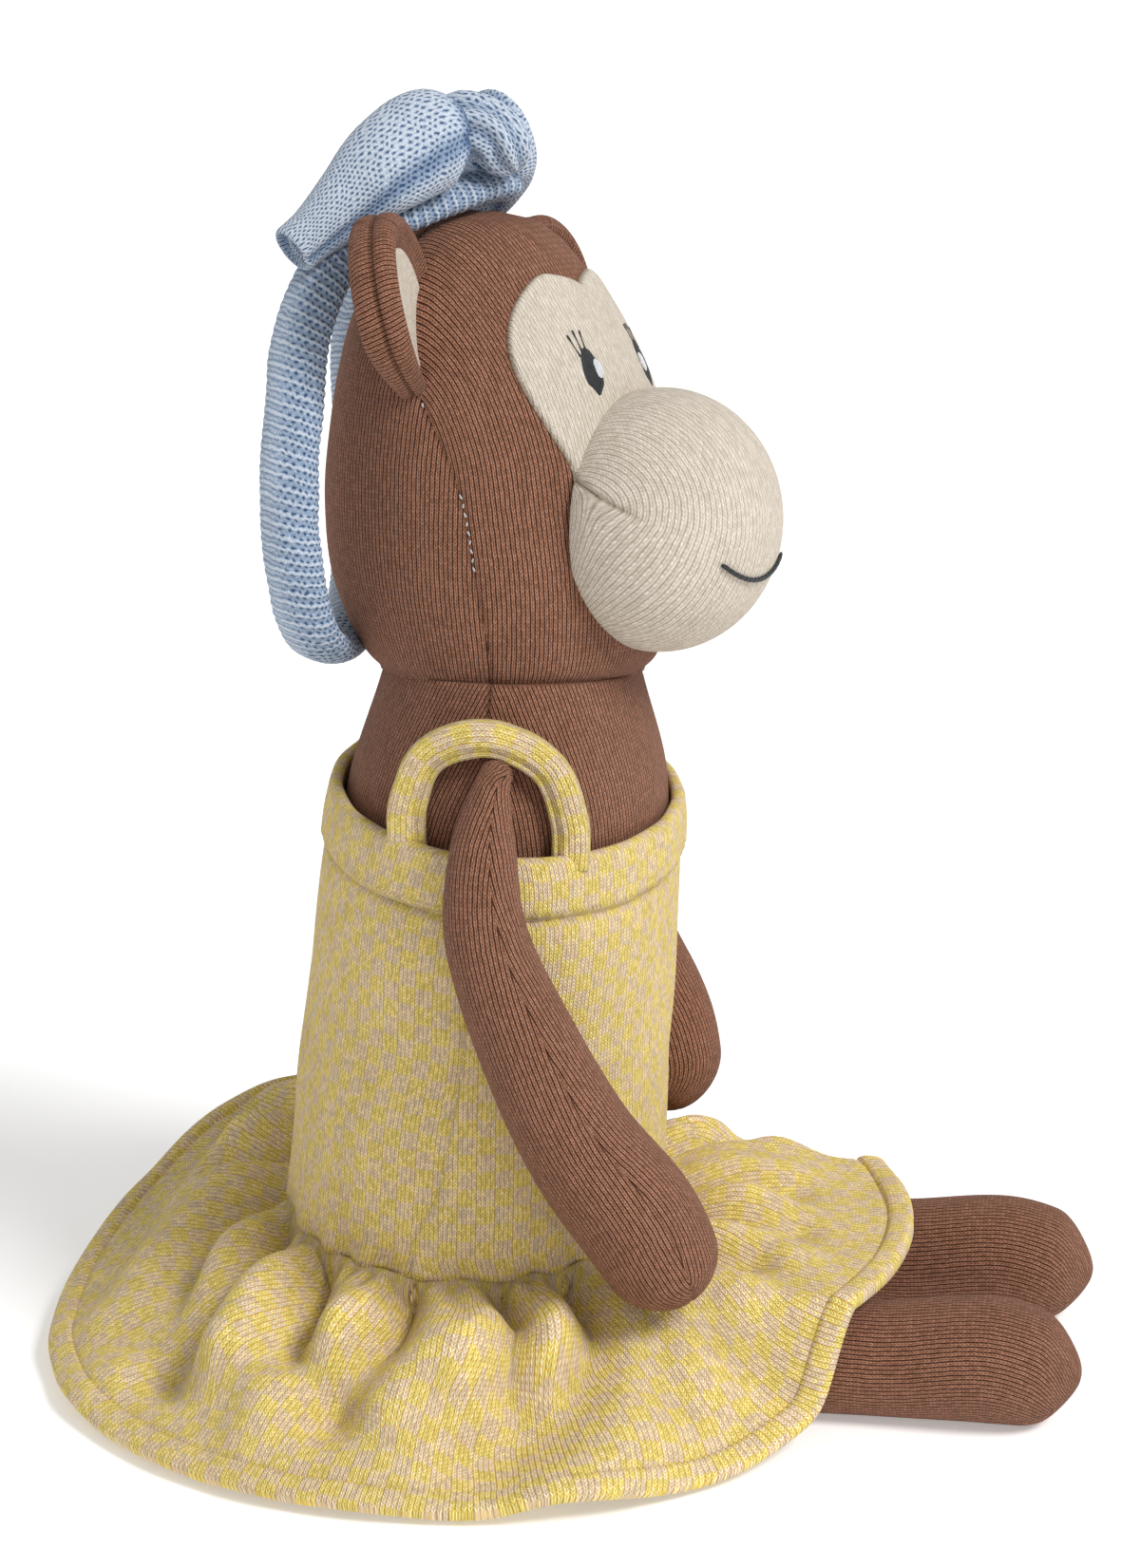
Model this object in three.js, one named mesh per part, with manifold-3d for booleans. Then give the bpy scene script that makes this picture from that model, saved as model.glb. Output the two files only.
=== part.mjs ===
// A seated knitted monkey doll in a summer dress, with a knotted headband.
// Millimetres, +Z up. The doll faces -Y and its right side is -X.
// The origin is on the floor, under the middle of the seat.

import * as THREE from 'three';
import { mergeVertices } from 'three/addons/utils/BufferGeometryUtils.js';
import Module from 'manifold-3d';

const wasm = await Module();
wasm.setup();

// Clearance between pieces that touch
const touchGap = 0.3;

// Clearance round a limb in its socket
const jointClearance = 0.6;

// Torso and neck
const waistHeight = 43;
const necklineHeight = 160;
const neckHeight = 192.5;
const waistHalfWidth = 56;
const waistHalfDepth = 47;
const chestHalfWidth = 51;
const chestHalfDepth = 42;
const neckHalfWidth = 38.5;
const neckHalfDepth = 33.5;
const forwardLean = 10;
const seatHalfWidth = 32;
const seatHalfDepth = 26;

// Head
const headLeanDegrees = 10;
const headTurnDegrees = -18;
const headHeight = 118;
const headHalfWidth = 47;
const headHalfDepth = 43.5;
const headSetBack = 6;

// Face
const patchThickness = 1.2;
const patchPeakHeight = 100;
const patchHalfAngle = 50;
const muzzleHalfWidth = 33;
const muzzleHalfDepth = 31;
const muzzleHalfHeight = 34;
const muzzleForward = 41.5;
const muzzleHeight = 41;
const eyeHeight = 79;
const eyeAngle = 19;
const eyeWidth = 7.4;
const eyeLength = 11;
const stitchThickness = 0.9;
const lashLength = 4.8;
const lashWidth = 0.9;
const highlightSize = 2.5;
const highlightThickness = 0.5;
const smileHalfAngle = 27;
const smileDrop = 5;
const smileThread = 1.4;
const smileTiltDegrees = -22;
const smileTurnDegrees = -6;

// Ears
const ears = {
  right: { reach: 20, halfHeight: 26, height: 94, spread: 47, setBack: 12, splayDegrees: 22 },
  left: { reach: 16.5, halfHeight: 23, height: 91.5, spread: 41, setBack: 15, splayDegrees: 4 },
};
const earThickness = 13;
const earTiltDegrees = 12;
const earCupDegrees = 14;
const earLiningShare = 0.68;
const liningThickness = 1.2;

// Arms
const shoulderHeight = 179;
const armRootRadius = 4.5;
const armRootDepth = 3;
const armLine = -13;
const armRadius = 10;
const handRadius = 14.5;
const elbowHeight = 124;
const handHeight = 39;
const handForward = 65;
const handInset = 17;
const handRise = 12;

// Legs
const legRadius = 15.5;
const footRadius = 16.8;
const ankleRadius = 15.5;
const legSpread = 33;
const legForward = 46;
const footReach = 165.5;
const flatDepth = 0.5;

// Dress
const clothThickness = 2.6;
const hemThickness = 3.6;
const easeAtWaist = 0.6;
const easeAtNeckline = 4.6;
const neckHemWidth = 16;
const necklineTiltDegrees = 4.6;
const strapWidth = 10;
const strapThickness = 4.5;
const strapRise = 30;
const strapHalfSpan = 21;
const skirtLength = 72;
const skirtPuff = 6;
const foldCount = 16;
const foldDepth = 5;
const skirtHemWidth = 7;
const skirtHemThickness = 5;

// Headband and its bow
const bandWidth = 15;
const bandThickness = 8;
const bandHalfWidth = 50;
const bandDrop = 198;
const bandSetBack = 40.5;
const knotHeight = 324;

const colours = {
  brown: { color: 0x80583f, roughness: 0.95 },
  cream: { color: 0xe4d5c4, roughness: 0.95 },
  charcoal: { color: 0x232628, roughness: 0.8 },
  white: { color: 0xdce0e2, roughness: 0.8 },
  yellow: { color: 0xe3d37f, roughness: 0.95 },
  blue: { color: 0xa0bedc, roughness: 0.95 },
};

const doll = new THREE.Group();
const radians = THREE.MathUtils.degToRad;
const point = (x, y, z) => new THREE.Vector3(x, y, z);

// Adds one named sub-part to a group
function addPiece(group, name, geometry, colour) {
  const mesh = new THREE.Mesh(geometry, new THREE.MeshStandardMaterial({ metalness: 0, ...colours[colour] }));
  mesh.name = name;
  group.add(mesh);
  return mesh;
}

// Smooth curve through rows of [position, value, value, ...], held level past its ends
function smoothRow(rows, position) {
  const last = rows.length - 1;
  if (position <= rows[0][0]) return rows[0].slice(1);
  if (position >= rows[last][0]) return rows[last].slice(1);
  const i = rows.findIndex((row) => row[0] > position) - 1;
  const slope = (k, column) => {
    const before = rows[Math.max(k - 1, 0)];
    const after = rows[Math.min(k + 1, last)];
    return (after[column] - before[column]) / (after[0] - before[0]);
  };
  const step = rows[i + 1][0] - rows[i][0];
  const u = (position - rows[i][0]) / step;
  return rows[i].slice(1).map((value, index) => {
    const column = index + 1;
    const next = rows[i + 1][column];
    return value * (1 + 2 * u) * (1 - u) ** 2 + next * u * u * (3 - 2 * u)
      + step * slope(i, column) * u * (1 - u) ** 2 - step * slope(i + 1, column) * u * u * (1 - u);
  });
}

function smoothStep(low, high, value) {
  return THREE.MathUtils.smoothstep(value, low, high);
}

// Turns a geometry inside out where its faces point inwards
function faceOutwards(geometry) {
  const place = geometry.getAttribute('position');
  const index = geometry.getIndex().array;
  const [a, b, c] = [point(), point(), point()];
  let volume = 0;
  for (let i = 0; i < index.length; i += 3) {
    a.fromBufferAttribute(place, index[i]);
    b.fromBufferAttribute(place, index[i + 1]);
    c.fromBufferAttribute(place, index[i + 2]);
    volume += a.dot(b.cross(c));
  }
  if (volume < 0) {
    for (let i = 0; i < index.length; i += 3) {
      [index[i], index[i + 1]] = [index[i + 1], index[i]];
    }
  }
  return geometry;
}

// Skins a row of rings of equal size; an open row is closed by a fan at each end
function skin(rings, closed = false) {
  const sides = rings[0].length;
  const vertices = rings.flat().flatMap((p) => [p.x, p.y, p.z]);
  const faces = [];
  const spans = closed ? rings.length : rings.length - 1;
  for (let i = 0; i < spans; i += 1) {
    const here = i * sides;
    const next = ((i + 1) % rings.length) * sides;
    for (let j = 0; j < sides; j += 1) {
      const k = (j + 1) % sides;
      faces.push(here + j, here + k, next + k, here + j, next + k, next + j);
    }
  }
  if (!closed) {
    [0, rings.length - 1].forEach((ring) => {
      const middle = rings[ring].reduce((sum, p) => sum.add(p), point()).divideScalar(sides);
      const hub = vertices.length / 3;
      vertices.push(middle.x, middle.y, middle.z);
      for (let j = 0; j < sides; j += 1) {
        const edge = [ring * sides + j, ring * sides + ((j + 1) % sides)];
        faces.push(hub, ...(ring === 0 ? edge.reverse() : edge));
      }
    });
  }
  const geometry = new THREE.BufferGeometry();
  geometry.setAttribute('position', new THREE.Float32BufferAttribute(vertices, 3));
  geometry.setIndex(faces);
  return faceOutwards(geometry);
}

function toSolid(geometry) {
  const bare = geometry.clone();
  bare.deleteAttribute('normal');
  bare.deleteAttribute('uv');
  const merged = mergeVertices(bare, 1e-4);
  return new wasm.Manifold(new wasm.Mesh({
    numProp: 3,
    vertProperties: new Float32Array(merged.getAttribute('position').array),
    triVerts: new Uint32Array(merged.getIndex().array),
  }));
}

function fromSolid(solid) {
  const { vertProperties, triVerts } = solid.getMesh();
  const geometry = new THREE.BufferGeometry();
  geometry.setAttribute('position', new THREE.BufferAttribute(vertProperties, 3));
  geometry.setIndex(new THREE.BufferAttribute(triVerts, 1));
  return geometry;
}

// Cuts tools out of a body and keeps its largest solid
function cut(geometry, ...tools) {
  let solid = toSolid(geometry);
  tools.forEach((tool) => { solid = solid.subtract(toSolid(tool)); });
  const parts = solid.decompose().sort((a, b) => b.volume() - a.volume());
  return fromSolid(parts[0]);
}

// A stuffed or rolled tube through stations of [x, y, z, half width, half thickness].
// The width lies along the reference direction, and rounded ends close to a point.
function stuffedTube(stations, { sides, rings, reference, roundStart = 0, roundEnd = 0, closed = false }) {
  const path = new THREE.CatmullRomCurve3(stations.map(([x, y, z]) => point(x, y, z)), closed, 'centripetal');
  const rows = stations.map(([, , , wide, thick], i) => [i, wide, thick]);
  if (closed) rows.push([stations.length, ...rows[0].slice(1)]);
  const spans = closed ? stations.length : stations.length - 1;
  path.arcLengthDivisions = 400;
  const length = path.getLength();
  const endScale = (run, rounding) => {
    const left = Math.max(0, 1 - run / rounding);
    return Math.sqrt(Math.max(0.0025, 1 - left * left));
  };
  const loops = [];
  for (let i = 0; i < rings + (closed ? 0 : 1); i += 1) {
    const even = i / rings;
    const share = closed ? even : 0.5 - 0.5 * Math.cos(Math.PI * even) * (0.6 + 0.4 * Math.abs(1 - 2 * even));
    const u = path.getUtoTmapping(share);
    const middle = path.getPoint(u);
    const tangent = path.getTangent(u);
    const [wide, thick] = smoothRow(rows, u * spans);
    let scale = 1;
    if (roundStart > 0) scale *= endScale(share * length, roundStart);
    if (roundEnd > 0) scale *= endScale((1 - share) * length, roundEnd);
    const side = (typeof reference === 'function' ? reference(middle) : reference.clone());
    side.addScaledVector(tangent, -side.dot(tangent)).normalize();
    const up = tangent.clone().cross(side);
    loops.push(Array.from({ length: sides }, (_, k) => {
      const turn = (2 * Math.PI * k) / sides;
      return middle.clone()
        .addScaledVector(side, wide * scale * Math.cos(turn))
        .addScaledVector(up, thick * scale * Math.sin(turn));
    }));
  }
  return skin(loops, closed);
}

// Torso sections: [height, half width, half depth, middle in Y]
const torsoRows = [
  [0, seatHalfWidth, seatHalfDepth, 0],
  [4, 0.78 * waistHalfWidth, 0.76 * waistHalfDepth, 0],
  [14, 0.92 * waistHalfWidth, 0.91 * waistHalfDepth, 0],
  [waistHeight, waistHalfWidth, waistHalfDepth, 0],
  [0.5 * (waistHeight + necklineHeight), 0.6 * waistHalfWidth + 0.4 * chestHalfWidth,
    0.6 * waistHalfDepth + 0.4 * chestHalfDepth, -0.35 * forwardLean],
  [necklineHeight, chestHalfWidth, chestHalfDepth, -0.85 * forwardLean],
  [neckHeight, neckHalfWidth, neckHalfDepth, -forwardLean],
  [neckHeight + 14, 0.93 * neckHalfWidth, 0.93 * neckHalfDepth, -forwardLean],
];

function torsoAt(height) {
  const [halfWidth, halfDepth, middle] = smoothRow(torsoRows, height);
  return { halfWidth, halfDepth, middle };
}

// Ring round the torso, grown by an ease at the sides and one at front and back
function torsoRing(height, sides, sideEase = 0, depthEase = 0, lift = () => 0) {
  const { halfWidth, halfDepth, middle } = torsoAt(height);
  return Array.from({ length: sides }, (_, k) => {
    const turn = (2 * Math.PI * k) / sides;
    const x = (halfWidth + sideEase) * Math.cos(turn);
    const y = middle + (halfDepth + depthEase) * Math.sin(turn);
    return point(x, y, height + lift(x, y));
  });
}

// The neck seam, and the turned frame that the head is built in
const neckSeam = new THREE.Group();
neckSeam.position.set(0, -forwardLean, neckHeight);
neckSeam.rotation.y = radians(headLeanDegrees);
const head = new THREE.Group();
head.rotation.z = radians(headTurnDegrees);
neckSeam.add(head);
doll.add(neckSeam);
doll.updateMatrixWorld(true);

function inHeadFrame(geometry) {
  return geometry.clone().applyMatrix4(head.matrixWorld);
}

// The torso's skin, grown outwards; it runs on above the neck seam
function torsoGeometry(grow) {
  const heights = [0, 1.5, 4, 8, 14, 28, waistHeight, 70, 100, 130, necklineHeight, 170, 180, neckHeight];
  heights.push(neckHeight + 14);
  return skin(heights.map((height) => torsoRing(height, 24, grow, grow)));
}

// Round space for the top of a leg, open below so that the leg can hang
function hipSocket(side) {
  const drop = 30;
  const socket = new THREE.CapsuleGeometry(legRadius + jointClearance, drop, 8, 24);
  socket.rotateX(Math.PI / 2);
  socket.translate(side * legSpread, -legForward, legRadius - flatDepth - 0.5 * drop);
  return socket;
}

// Round space for the end of an arm
function shoulderSocket(side) {
  const length = 30;
  const radius = armRootRadius + jointClearance;
  const socket = new THREE.CylinderGeometry(radius, radius, length, 20);
  socket.rotateZ(Math.PI / 2);
  const start = torsoAt(shoulderHeight).halfWidth - armRootDepth - touchGap;
  socket.translate(side * (start + 0.5 * length), armLine, shoulderHeight);
  return socket;
}

function buildTorso() {
  const above = new THREE.BoxGeometry(200, 200, 60);
  above.translate(0, 0, 30);
  const sockets = [-1, 1].flatMap((side) => [hipSocket(side), shoulderSocket(side)]);
  addPiece(doll, 'torso', cut(torsoGeometry(0), inHeadFrame(above), ...sockets), 'brown');
}

// Head sections: [share of the height, share of half width, share of half depth, share of the set-back]
const headRows = [
  [0, 0.68, 0.77, 0],
  [0.035, 0.77, 0.87, 0.1],
  [0.1, 0.87, 0.96, 0.35],
  [0.21, 0.95, 1.02, 0.7],
  [0.36, 0.99, 1.02, 0.95],
  [0.5, 1, 0.98, 1.05],
  [0.66, 0.96, 0.865, 1.4],
  [0.8, 0.83, 0.7, 1.84],
  [0.91, 0.61, 0.51, 2],
  [0.975, 0.35, 0.3, 1.95],
  [0.997, 0.1, 0.09, 1.95],
];

// Point on the head: turn is 0 at the nose side and positive towards the doll's left
function headPoint(turn, height, grow = 0) {
  const [width, depth, back] = smoothRow(headRows, height / headHeight);
  const halfWidth = width * headHalfWidth;
  const halfDepth = depth * headHalfDepth;
  return point(
    (halfWidth + grow) * Math.sin(turn),
    back * headSetBack - (halfDepth + grow) * Math.cos(turn),
    height,
  );
}

function headNormal(turn, height) {
  const step = 0.5;
  const across = headPoint(turn + 0.01, height).sub(headPoint(turn - 0.01, height));
  const upwards = headPoint(turn, height + step).sub(headPoint(turn, height - step));
  return across.cross(upwards).normalize();
}

// The head's skin, grown outwards; it stands clear of the neck seam
function headGeometry(grow) {
  const sides = 32;
  const shares = [0.0025, 0.035, 0.08, 0.14, 0.21, 0.3, 0.4, 0.5, 0.6, 0.7, 0.79, 0.86, 0.915,
    0.955, 0.982, 0.997];
  const rings = shares.map((share) => Array.from({ length: sides }, (_, k) => {
    const turn = (2 * Math.PI * k) / sides;
    const height = share * headHeight;
    return headPoint(turn, height).addScaledVector(headNormal(turn, height), grow);
  }));
  return skin(rings);
}

// A thin pad on a surface. The outline is in surface coordinates (u, v); place(u, v, out)
// gives the point at a height above the surface.
function surfacePad(outline, place, low, thickness, inner = 0.55) {
  const middle = outline.reduce((sum, p) => sum.add(p), new THREE.Vector2()).divideScalar(outline.length);
  const loops = [inner * 0.5, inner, 1].map((share) => outline.map((p) => p.clone().sub(middle)
    .multiplyScalar(share).add(middle)));
  const rings = [];
  loops.forEach((loop) => rings.push(loop.map((p) => place(p.x, p.y, low + thickness))));
  loops.reverse().forEach((loop) => rings.push(loop.map((p) => place(p.x, p.y, low))));
  return skin(rings);
}

function onHead(turn, height, out) {
  return headPoint(turn, height).addScaledVector(headNormal(turn, height), out);
}

// Half of the face patch's outline, from the brow's peak down to the chin:
// [share of the half angle, height above the peak]
const patchHalf = [
  [0, 0],
  [0.1, 1.2],
  [0.28, 2.4],
  [0.52, 2.6],
  [0.8, -2.6],
  [0.94, -8.5],
  [1, -15.5],
  [0.97, -23],
  [0.83, -36],
  [0.72, -45],
  [0.7, -52],
  [0.66, -60],
  [0.45, -68],
  [0, -70],
];

function buildFacePatch() {
  const cutterDepth = 9;
  const half = patchHalf.map(([share, rise]) => point(share * patchHalfAngle, patchPeakHeight + rise, 0));
  const other = half.slice(1, -1).reverse().map((p) => point(-p.x, p.y, 0));
  const outline = new THREE.CatmullRomCurve3([...half, ...other], true, 'centripetal').getPoints(52).slice(0, -1)
    .map((p) => new THREE.Vector2(radians(p.x), p.y));
  const shell = toSolid(headGeometry(touchGap + patchThickness)).subtract(toSolid(headGeometry(touchGap)));
  const cutter = toSolid(surfacePad(outline, onHead, -cutterDepth, 2 * cutterDepth));
  addPiece(head, 'face_patch', fromSolid(shell.intersect(cutter)), 'cream');
}

// Point on the muzzle ball: turn across, tilt up, and a height above its skin
function muzzlePoint(turn, tilt, out = 0) {
  const direction = point(Math.sin(turn) * Math.cos(tilt), -Math.cos(turn) * Math.cos(tilt), Math.sin(tilt));
  return point(
    (muzzleHalfWidth + out) * direction.x,
    -muzzleForward + (muzzleHalfDepth + out) * direction.y,
    muzzleHeight + (muzzleHalfHeight + out) * direction.z,
  );
}

function buildMuzzle() {
  const ball = new THREE.SphereGeometry(1, 22, 12);
  ball.scale(muzzleHalfWidth, muzzleHalfHeight, muzzleHalfDepth);
  ball.rotateX(Math.PI / 2);
  ball.translate(0, -muzzleForward, muzzleHeight);
  const face = headGeometry(patchThickness + 2 * touchGap);
  addPiece(head, 'muzzle', cut(ball, face), 'cream');
}

function buildSmile() {
  const count = 10;
  const points = Array.from({ length: count + 1 }, (_, i) => {
    const share = (2 * i) / count - 1;
    const turn = radians(smileTurnDegrees + share * smileHalfAngle);
    const tilt = radians(smileTiltDegrees) + (smileDrop * share * share) / muzzleHalfHeight;
    return muzzlePoint(turn, tilt, touchGap + 0.5 * smileThread);
  });
  const stations = points.map((p) => [p.x, p.y, p.z, 0.5 * smileThread, 0.5 * smileThread]);
  const options = { sides: 6, rings: 16, reference: point(0, 0, 1), roundStart: 1, roundEnd: 1 };
  const thread = stuffedTube(stations, options);
  addPiece(head, 'smile', thread, 'charcoal');
}

function ellipseOutline(middle, halfWidth, halfHeight, count) {
  return Array.from({ length: count }, (_, k) => {
    const turn = (2 * Math.PI * k) / count;
    return new THREE.Vector2(middle.x + halfWidth * Math.cos(turn), middle.y + halfHeight * Math.sin(turn));
  });
}

// An eye is an embroidered oval with three lashes on its outer side, and a light stitch on its nose side
function buildEye(side, name) {
  const perMillimetre = 1 / headHalfDepth;
  const turn = side * radians(eyeAngle);
  const base = 2 * touchGap + patchThickness;
  const halfWidth = 0.5 * eyeWidth;
  const halfLength = 0.5 * eyeLength;
  const oval = ellipseOutline(new THREE.Vector2(turn, eyeHeight), halfWidth * perMillimetre, halfLength, 14);
  const lashes = [0, 0.42, 0.84].map((share, i) => {
    const outwards = share * halfWidth;
    const rise = 0.9 * halfLength * Math.sqrt(1 - share * share);
    const lean = (i - 1) * 0.17 * lashLength;
    const tip = 0.1 * halfLength + lashLength;
    const corner = (across, up) => new THREE.Vector2(turn + side * across * perMillimetre, eyeHeight + rise + up);
    const half = 0.5 * lashWidth;
    return [
      corner(outwards - half, 0), corner(outwards + half, 0),
      corner(outwards + lean + half, tip), corner(outwards + lean - half, tip),
    ];
  });
  const stitches = [oval, ...lashes].map((outline) => toSolid(surfacePad(outline, onHead, base, stitchThickness)));
  addPiece(head, `${name}_eye`, fromSolid(wasm.Manifold.union(stitches)), 'charcoal');

  const shine = new THREE.Vector2(turn - side * 0.35 * halfWidth * perMillimetre, eyeHeight + 0.2 * halfLength);
  const spot = ellipseOutline(shine, 0.5 * highlightSize * perMillimetre, 0.75 * highlightSize, 8);
  const spotBase = base + stitchThickness + touchGap;
  addPiece(head, `${name}_eye_highlight`, surfacePad(spot, onHead, spotBase, highlightThickness), 'white');
}

// An ear is a dished disc with a rolled rim; its cream lining lies in the dish
function buildEar(side, name) {
  const { reach, halfHeight, height, spread, setBack, splayDegrees } = ears[name];
  const half = 0.5 * earThickness;
  const rimProfile = [
    [0, 0.3], [0.5, 0.4], [0.72, 0.75], [0.86, 1], [0.97, 0.7], [1, 0], [0.94, -0.7], [0.7, -0.95], [0, -1],
  ];
  const dish = rimProfile.map(([r, h]) => new THREE.Vector2(r, h * half));
  const seat = touchGap + liningThickness;
  const liningProfile = [[0, 0.3 * half + seat], [0.5, 0.4 * half + seat], [earLiningShare, 0.66 * half + seat],
    [earLiningShare, 0.66 * half + 1.4 * touchGap], [0.5, 0.4 * half + touchGap], [0, 0.3 * half + touchGap]];
  const lining = liningProfile.map(([r, h]) => new THREE.Vector2(r, h));
  const place = (profile) => {
    const disc = new THREE.LatheGeometry(profile, 22);
    disc.scale(reach, 1, halfHeight);
    disc.rotateY(side * radians(splayDegrees));
    disc.rotateX(-radians(earTiltDegrees));
    disc.rotateZ(-side * radians(earCupDegrees));
    disc.translate(side * spread, setBack, height);
    return disc;
  };
  const flip = (profile) => profile.map((p) => new THREE.Vector2(p.x, -p.y));
  const skull = headGeometry(touchGap);
  addPiece(head, `${name}_ear`, cut(place(flip(dish)), skull), 'brown');
  addPiece(head, `${name}_ear_lining`, cut(place(flip(lining)), skull), 'cream');
}

// The dress: its inner wall keeps an ease from the torso
function easeAt(height) {
  const share = smoothStep(waistHeight, necklineHeight, height);
  return easeAtWaist + share * (easeAtNeckline - easeAtWaist);
}

const necklineLift = (x, y) => (y + forwardLean) * Math.tan(radians(necklineTiltDegrees));

// A band of cloth round the body: rings up its outside, over its top edge and down its inside
function clothBand(rows, sides, tilted) {
  const rings = rows.map(([height, out]) => {
    const lift = tilted === 'all' ? necklineLift
      : (x, y) => necklineLift(x, y) * smoothStep(waistHeight, necklineHeight - neckHemWidth, height);
    return torsoRing(height, sides, easeAt(height) + out, easeAtWaist + out, lift);
  });
  return skin(rings, true);
}

function buildBodice() {
  const top = necklineHeight - neckHemWidth - touchGap;
  const heights = [waistHeight, 60, 80, 100, 122, top];
  const outside = heights.map((height) => [height, clothThickness]);
  const inside = heights.slice().reverse().map((height) => [height, 0]);
  addPiece(doll, 'dress_bodice', clothBand([...outside, ...inside], 40, 'rising'), 'yellow');
}

function buildNeckHem() {
  const low = necklineHeight - neckHemWidth;
  const rows = [
    [low, hemThickness - 1], [low + 2, hemThickness], [necklineHeight - 2, hemThickness],
    [necklineHeight, hemThickness - 1.6], [necklineHeight, 1.4], [necklineHeight - 2, 0], [low, 0],
  ];
  addPiece(doll, 'dress_neck_hem', clothBand(rows, 40, 'all'), 'yellow');
}

// A strap stands on the neck hem in front of and behind the arm, and arches over the shoulder
function buildStrap(side, name) {
  const chest = torsoAt(necklineHeight);
  const wall = easeAtNeckline + 0.5 * hemThickness;
  const foot = necklineHeight + 0.5 * touchGap;
  const middle = -forwardLean - 1;
  const outAt = (y, half) => half * Math.sqrt(1 - ((y - chest.middle) / (chest.halfDepth + wall)) ** 2);
  const station = (y, rise) => {
    const seatX = outAt(y, chest.halfWidth + wall);
    const inset = 0.27 * rise;
    return [side * (seatX - inset), y, foot + necklineLift(0, y) + rise, 0.5 * strapWidth, 0.5 * strapThickness];
  };
  const stations = [
    station(middle - strapHalfSpan, touchGap), station(middle - 0.98 * strapHalfSpan, 0.33 * strapRise),
    station(middle - 0.72 * strapHalfSpan, 0.78 * strapRise), station(middle, strapRise),
    station(middle + 0.72 * strapHalfSpan, 0.78 * strapRise),
    station(middle + 0.98 * strapHalfSpan, 0.33 * strapRise),
    station(middle + strapHalfSpan, touchGap),
  ];
  const heart = point(side * 60, middle, foot);
  const outwards = (p) => p.clone().sub(heart).setX(0);
  const strap = stuffedTube(stations, { sides: 8, rings: 18, reference: outwards });
  const hemTop = clothBand([[necklineHeight + touchGap, 12], [necklineHeight + touchGap, -6],
    [necklineHeight - 12, -6], [necklineHeight - 12, 12]], 40, 'all');
  addPiece(doll, name, cut(strap, hemTop), 'yellow');
}

// Skirt hem round the doll: [angle from the doll's left towards its back, reach, height]
const skirtEdge = [
  [-20, 115, 16], [15, 116, 28], [45, 113, 31], [68, 112, 18], [92, 114, 7], [120, 119, 3.5], [150, 119, 3.5],
  [180, 117, 3.5], [207, 116, 3.5], [228, 115, 5], [270, 118, 28], [315, 114, 15], [340, 115, 16],
];

// Height that the cloth keeps over the legs, in front of the body
function lapHeight(x, y) {
  const top = 2 * footRadius - flatDepth + 0.5 * skirtHemThickness + 2 * touchGap;
  const across = 1 - smoothStep(legSpread + 12, legSpread + 34, Math.abs(x));
  const along = 1 - smoothStep(-legForward - 2, -15, y);
  return top * across * along;
}

// Middle of the skirt's cloth: turn goes round the doll, share from the waist to the edge
function skirtPoint(turn, share) {
  const waist = torsoAt(waistHeight);
  const out = easeAtWaist + 0.5 * clothThickness;
  const waistX = (waist.halfWidth + out) * Math.cos(turn);
  const waistY = (waist.halfDepth + out) * Math.sin(turn);
  const degrees = THREE.MathUtils.radToDeg(turn);
  const around = degrees > 340 ? degrees - 360 : degrees;
  const [reach, edge] = smoothRow(skirtEdge, around < -20 ? around + 360 : around);
  const x = waistX + share * (reach * Math.cos(turn) - waistX);
  const y = waistY + share * (reach * Math.sin(turn) - waistY);
  const start = waistHeight - 0.5 * clothThickness - 4 * touchGap;
  const drop = share ** 1.15;
  const puff = skirtPuff * Math.sin(Math.PI * Math.min(1, 1.4 * share)) * (1 - share) * smoothStep(0, 0.25, share);
  const drape = start + (edge - start) * drop + puff;
  const lap = lapHeight(x, y);
  const soft = 3;
  const spread = Math.max(0, 1 - Math.abs(drape - lap) / (2 * soft));
  const resting = Math.max(drape, lap) + 0.5 * soft * spread * spread;
  const gather = smoothStep(0, 0.22, share) * (1 - 0.78 * smoothStep(0.3, 1, share));
  const fold = foldDepth * gather * (0.5 + 0.5 * Math.cos(foldCount * turn + 0.6 * Math.sin(3 * turn)));
  return point(x, y, share === 0 ? start : resting + fold);
}

function skirtNormal(turn, share) {
  const inner = Math.max(0, share - 0.03);
  const outer = Math.min(1, share + 0.03);
  const along = skirtPoint(turn, outer).sub(skirtPoint(turn, inner));
  const around = skirtPoint(turn + 0.02, share).sub(skirtPoint(turn - 0.02, share));
  const normal = along.cross(around).normalize();
  return normal.z < 0 ? normal.negate() : normal;
}

// A ring-shaped sheet of the skirt between shares of its length, with a thickness at each
function skirtSheet(rows, sides) {
  const ring = (share, out) => Array.from({ length: sides }, (_, k) => {
    const turn = (2 * Math.PI * (k + 0.5)) / sides;
    return skirtPoint(turn, share).addScaledVector(skirtNormal(turn, share), out);
  });
  const above = rows.map(([share, thickness]) => ring(share, 0.5 * thickness));
  const below = rows.slice().reverse().map(([share, thickness]) => ring(share, -0.5 * thickness));
  return skin([...above, ...below], true);
}

const hemShare = 1 - skirtHemWidth / skirtLength;

function buildSkirt() {
  const last = hemShare - 4 * touchGap / skirtLength;
  const rows = [0, 0.14, 0.28, 0.45, 0.63, 0.8, last].map((share) => [share, clothThickness]);
  addPiece(doll, 'dress_skirt', skirtSheet(rows, 72), 'yellow');
}

function buildSkirtHem() {
  const rows = [
    [hemShare, 0.75 * skirtHemThickness], [0.96, skirtHemThickness], [1, 0.45 * skirtHemThickness],
  ];
  addPiece(doll, 'dress_skirt_hem', skirtSheet(rows, 72), 'yellow');
}

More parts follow.
